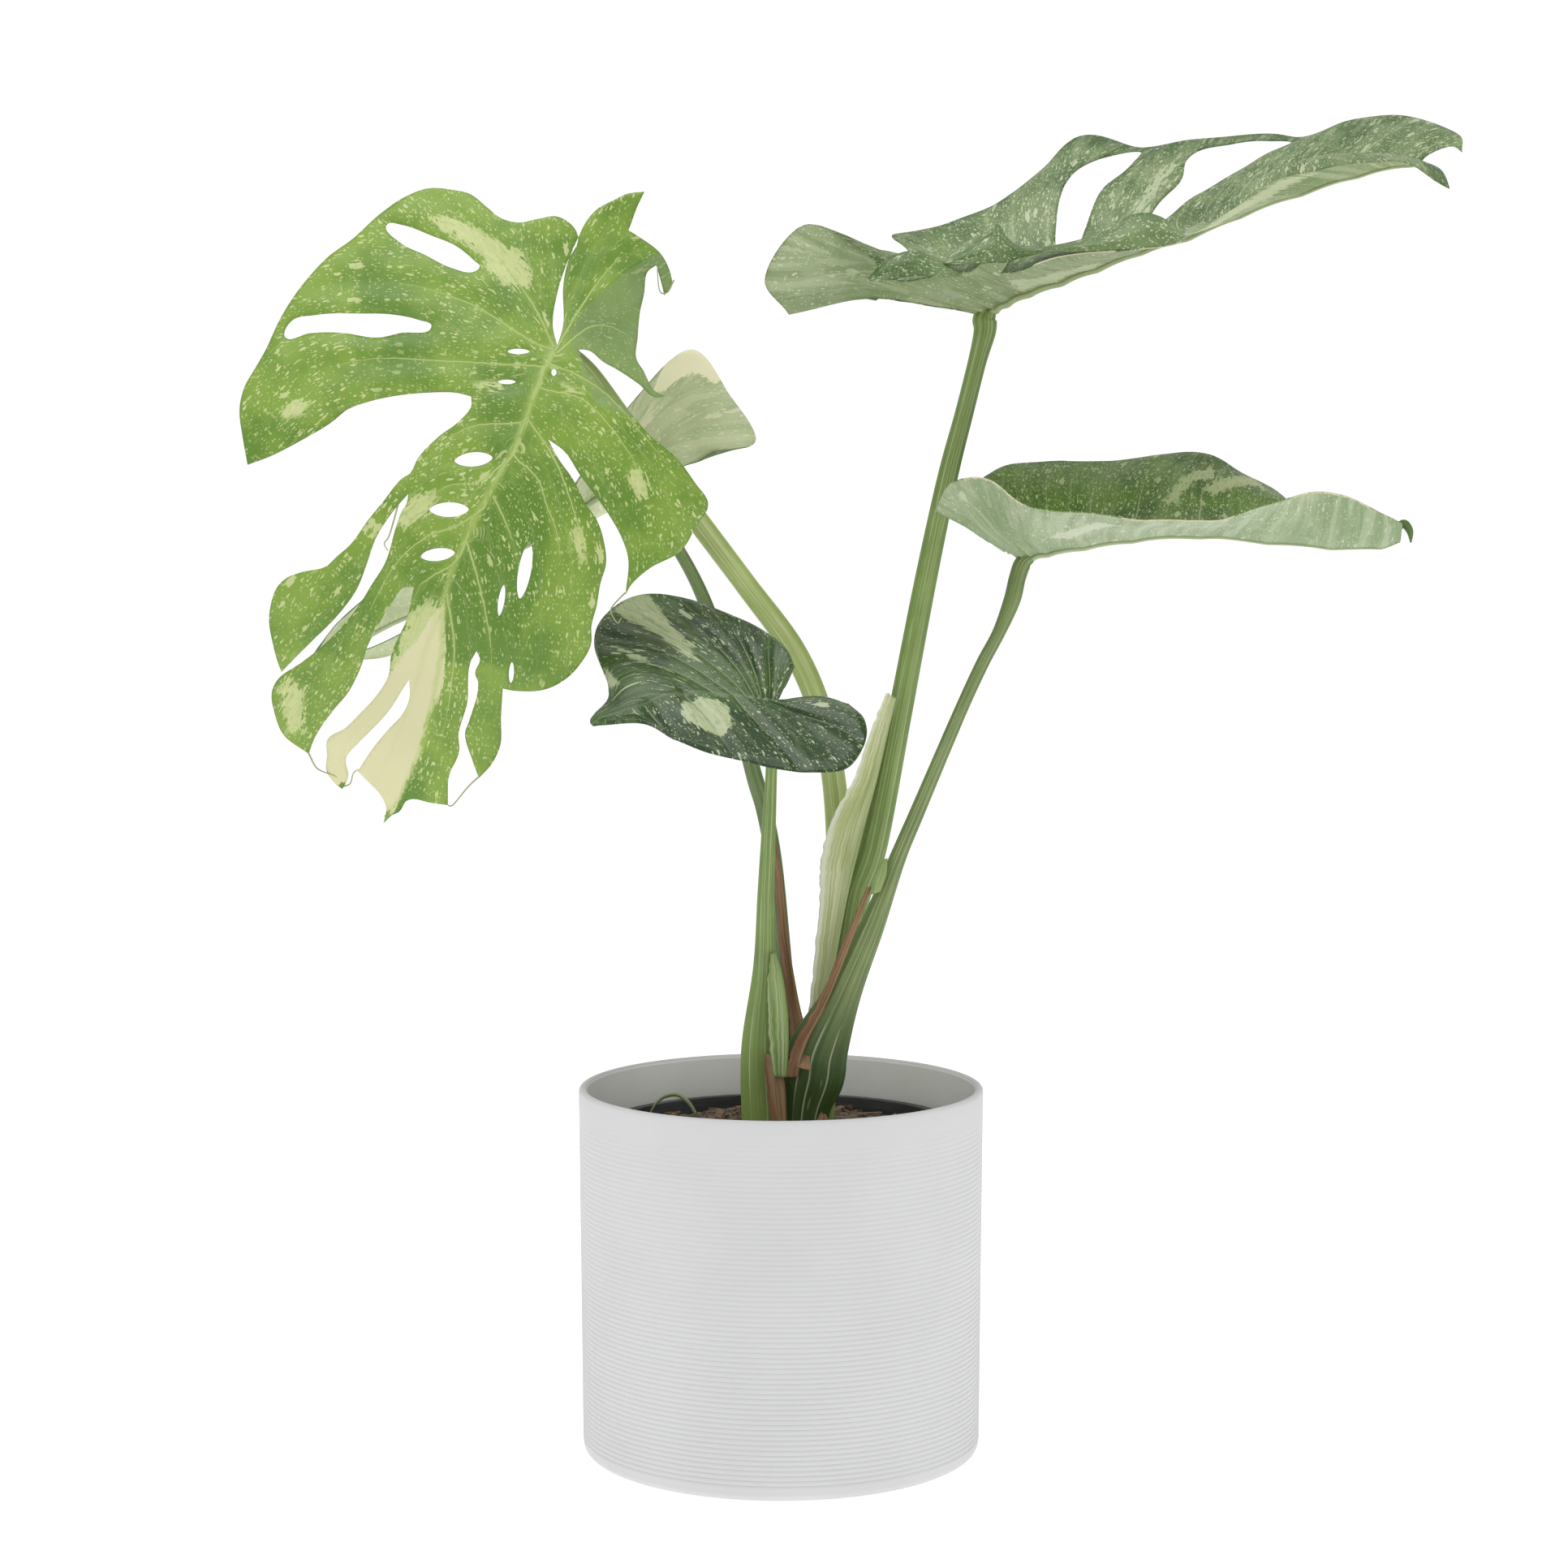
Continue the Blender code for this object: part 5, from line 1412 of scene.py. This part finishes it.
cream_paint = sheath_paint((176, 184, 128), (206, 208, 166), (120, 146, 72), 0.5, 0.85)
cream_sheath = material("cream sheath", cream_paint)
dry_brown = material("dry sheath", sheath_paint((118, 86, 56), (156, 126, 92), (94, 62, 38), 0.75))
sheath("sheath_upper_right_wing", "sheath_upper_right", "sheath_cream", [
    [(57, -2, 414), (62, -3, 411)], [(49, 2, 394), (58, -3, 394)], [(40, 2, 368), (52, -5, 368)],
    [(28, 0, 346), (46, -7, 346)], [(21.5, -2, 322), (40, -8, 322)], [(21, -4, 300), (35, -9, 300)],
    [(17, -7, 260), (28, -10, 262)], [(13, -8, 222), (22, -11, 222)],
], cream_sheath, 3.0)
sheath("dry_sheath_right_strip", "dry_sheath_right", "dry_sheath", [
    [(46, -31, 312), (48, -32, 312)], [(34, -31.5, 284), (38, -32.5, 284)],
    [(21.5, -32.5, 254), (26, -33.5, 254)], [(7, -33, 228), (13.5, -34, 228)], [(1, -32, 210), (9, -33, 210)],
], dry_brown, 1.0)
sheath("dry_sheath_right_foot", None, "dry_sheath", [
    [(21, -31, 190), (24, -33, 190)], [(18, -32, 184), (26, -34, 184)], [(17, -32, 176), (24, -34, 176)],
], dry_brown, 1.0)
sheath("dry_sheath_left_strip", "dry_sheath_left", "dry_sheath", [
    [(-5, 4, 338), (-3.5, 4, 338)], [(-3, 3, 312), (1, 2, 312)], [(-1, 1, 280), (4, 0, 280)],
    [(3, -4, 250), (9, -5, 250)], [(5, -20, 232), (14, -24, 230)], [(6, -32, 216), (16, -36, 214)],
], dry_brown, 1.0)
green_sheath = material("green sheath", sheath_paint((104, 132, 62), (140, 162, 96), (206, 212, 172), 0.45))
sheath("front_sheath_wing", None, "stalk_green", [
    [(-5, -32, 277), (-3, -32, 277)], [(-7, -32, 262), (1, -32, 264)], [(-7, -32, 244), (3.5, -33, 246)],
    [(-6, -32, 226), (4, -34, 228)], [(-4, -31, 210), (3, -33, 210)],
], green_sheath, 2.0)
sheath("right_sheath_lip", None, "stalk_green", [
    [(55, -31, 327), (56.5, -31, 327)], [(50, -32, 318), (56, -33, 319)], [(47, -33, 308), (53, -34, 310)],
], green_sheath, 1.5)
sheath("dry_sheath_front_strip", "dry_sheath_front", "dry_sheath", [
    [(-9, -30, 222), (-2, -30, 222)], [(-8, -30, 206), (2, -31, 206)], [(-6, -30, 190), (3, -31, 190)],
    [(-3, -30, 179), (3, -31, 179)],
], dry_brown, 1.0)

# ---------------------------------------------------------------------------
# Young shoot. A soft, slightly flattened sprout, pale green, that arches out of the potting mix by the
# left wall and dips back into it.
shoot_green = fibrous("pale shoot", (140, 158, 110), (168, 182, 140), (200, 206, 176), (128, 142, 100))
sprout("young_shoot_sprout", "young_shoot", "sprout_green", [
    (-48, 48, 176, 3), (-52, 48.5, 182, 3.6), (-58, 49.5, 186, 4.2), (-65, 50, 185, 3.6),
    (-70, 50, 181, 2.6), (-73, 50, 176, 1.6),
], 40, 14, 0.6, shoot_green)

# ---------------------------------------------------------------------------
# The studio round the plant: a plain white floor, an even white surround, four soft square lights and
# the camera, which stands a little above the middle of the leaves.
FLOOR_SIZE, FLOOR_Z = 12.0, -0.0004
SURROUND, SURROUND_SEEN = 0.56, 0.47
bpy.ops.mesh.primitive_plane_add(size=FLOOR_SIZE, location=(0, 0, FLOOR_Z))
floor = bpy.context.object
floor.name = "studio_floor"


def floor_white(start):
    white = place_of(start).noise(0.4, 2.0).rise(0.3, 0.7).tint(srgb(243, 243, 243), srgb(246, 246, 246))
    return {
        "Base Color": white,
        "Roughness": 0.9,
        "Emission Color": (1.0, 1.0, 1.0),
        "Emission Strength": 0.5,
    }


floor.data.materials.append(material("studio floor", floor_white))

world = bpy.data.worlds.new("studio")
bpy.context.scene.world = world
world.use_nodes = True
backdrop = world.node_tree.nodes["Background"]
backdrop.inputs["Color"].default_value = (1.0, 1.0, 1.0, 1.0)
seen = Wire(world.node_tree).node("ShaderNodeLightPath", out=0)
world.node_tree.links.new((seen * SURROUND_SEEN + SURROUND).socket, backdrop.inputs["Strength"])


def area_light(name, place, aim, width, watts):
    lamp = bpy.data.lights.new(name, "AREA")
    lamp.shape, lamp.size, lamp.energy = "SQUARE", width, watts
    made = bpy.data.objects.new(name, lamp)
    made.location = place
    made.rotation_euler = (Vector(aim) - Vector(place)).to_track_quat("-Z", "Y").to_euler()
    bpy.context.scene.collection.objects.link(made)


area_light("soft_top", (-0.3, -0.4, 2.2), (0, 0, 0.4), 1.6, 20.0)
area_light("soft_front", (-1.3, -2.0, 1.4), (0, 0, 0.4), 1.4, 1.5)
area_light("soft_right", (1.9, -0.4, 0.6), (0, 0, 0.2), 1.2, 6.0)
area_light("soft_left", (-1.9, -0.4, 0.6), (0, 0, 0.2), 1.2, 2.5)

scene = bpy.context.scene
camera = bpy.data.cameras.new("camera")
camera.lens, camera.sensor_width = 76.5, 36.0
camera.clip_start, camera.clip_end = 0.05, 40.0
eye = bpy.data.objects.new("camera", camera)
eye.location = (0.0006, -1.796, 0.510)
eye.rotation_euler = (math.radians(85.37), 0.0, math.radians(-0.033))
scene.collection.objects.link(eye)
scene.camera = eye
scene.view_settings.view_transform = "Standard"
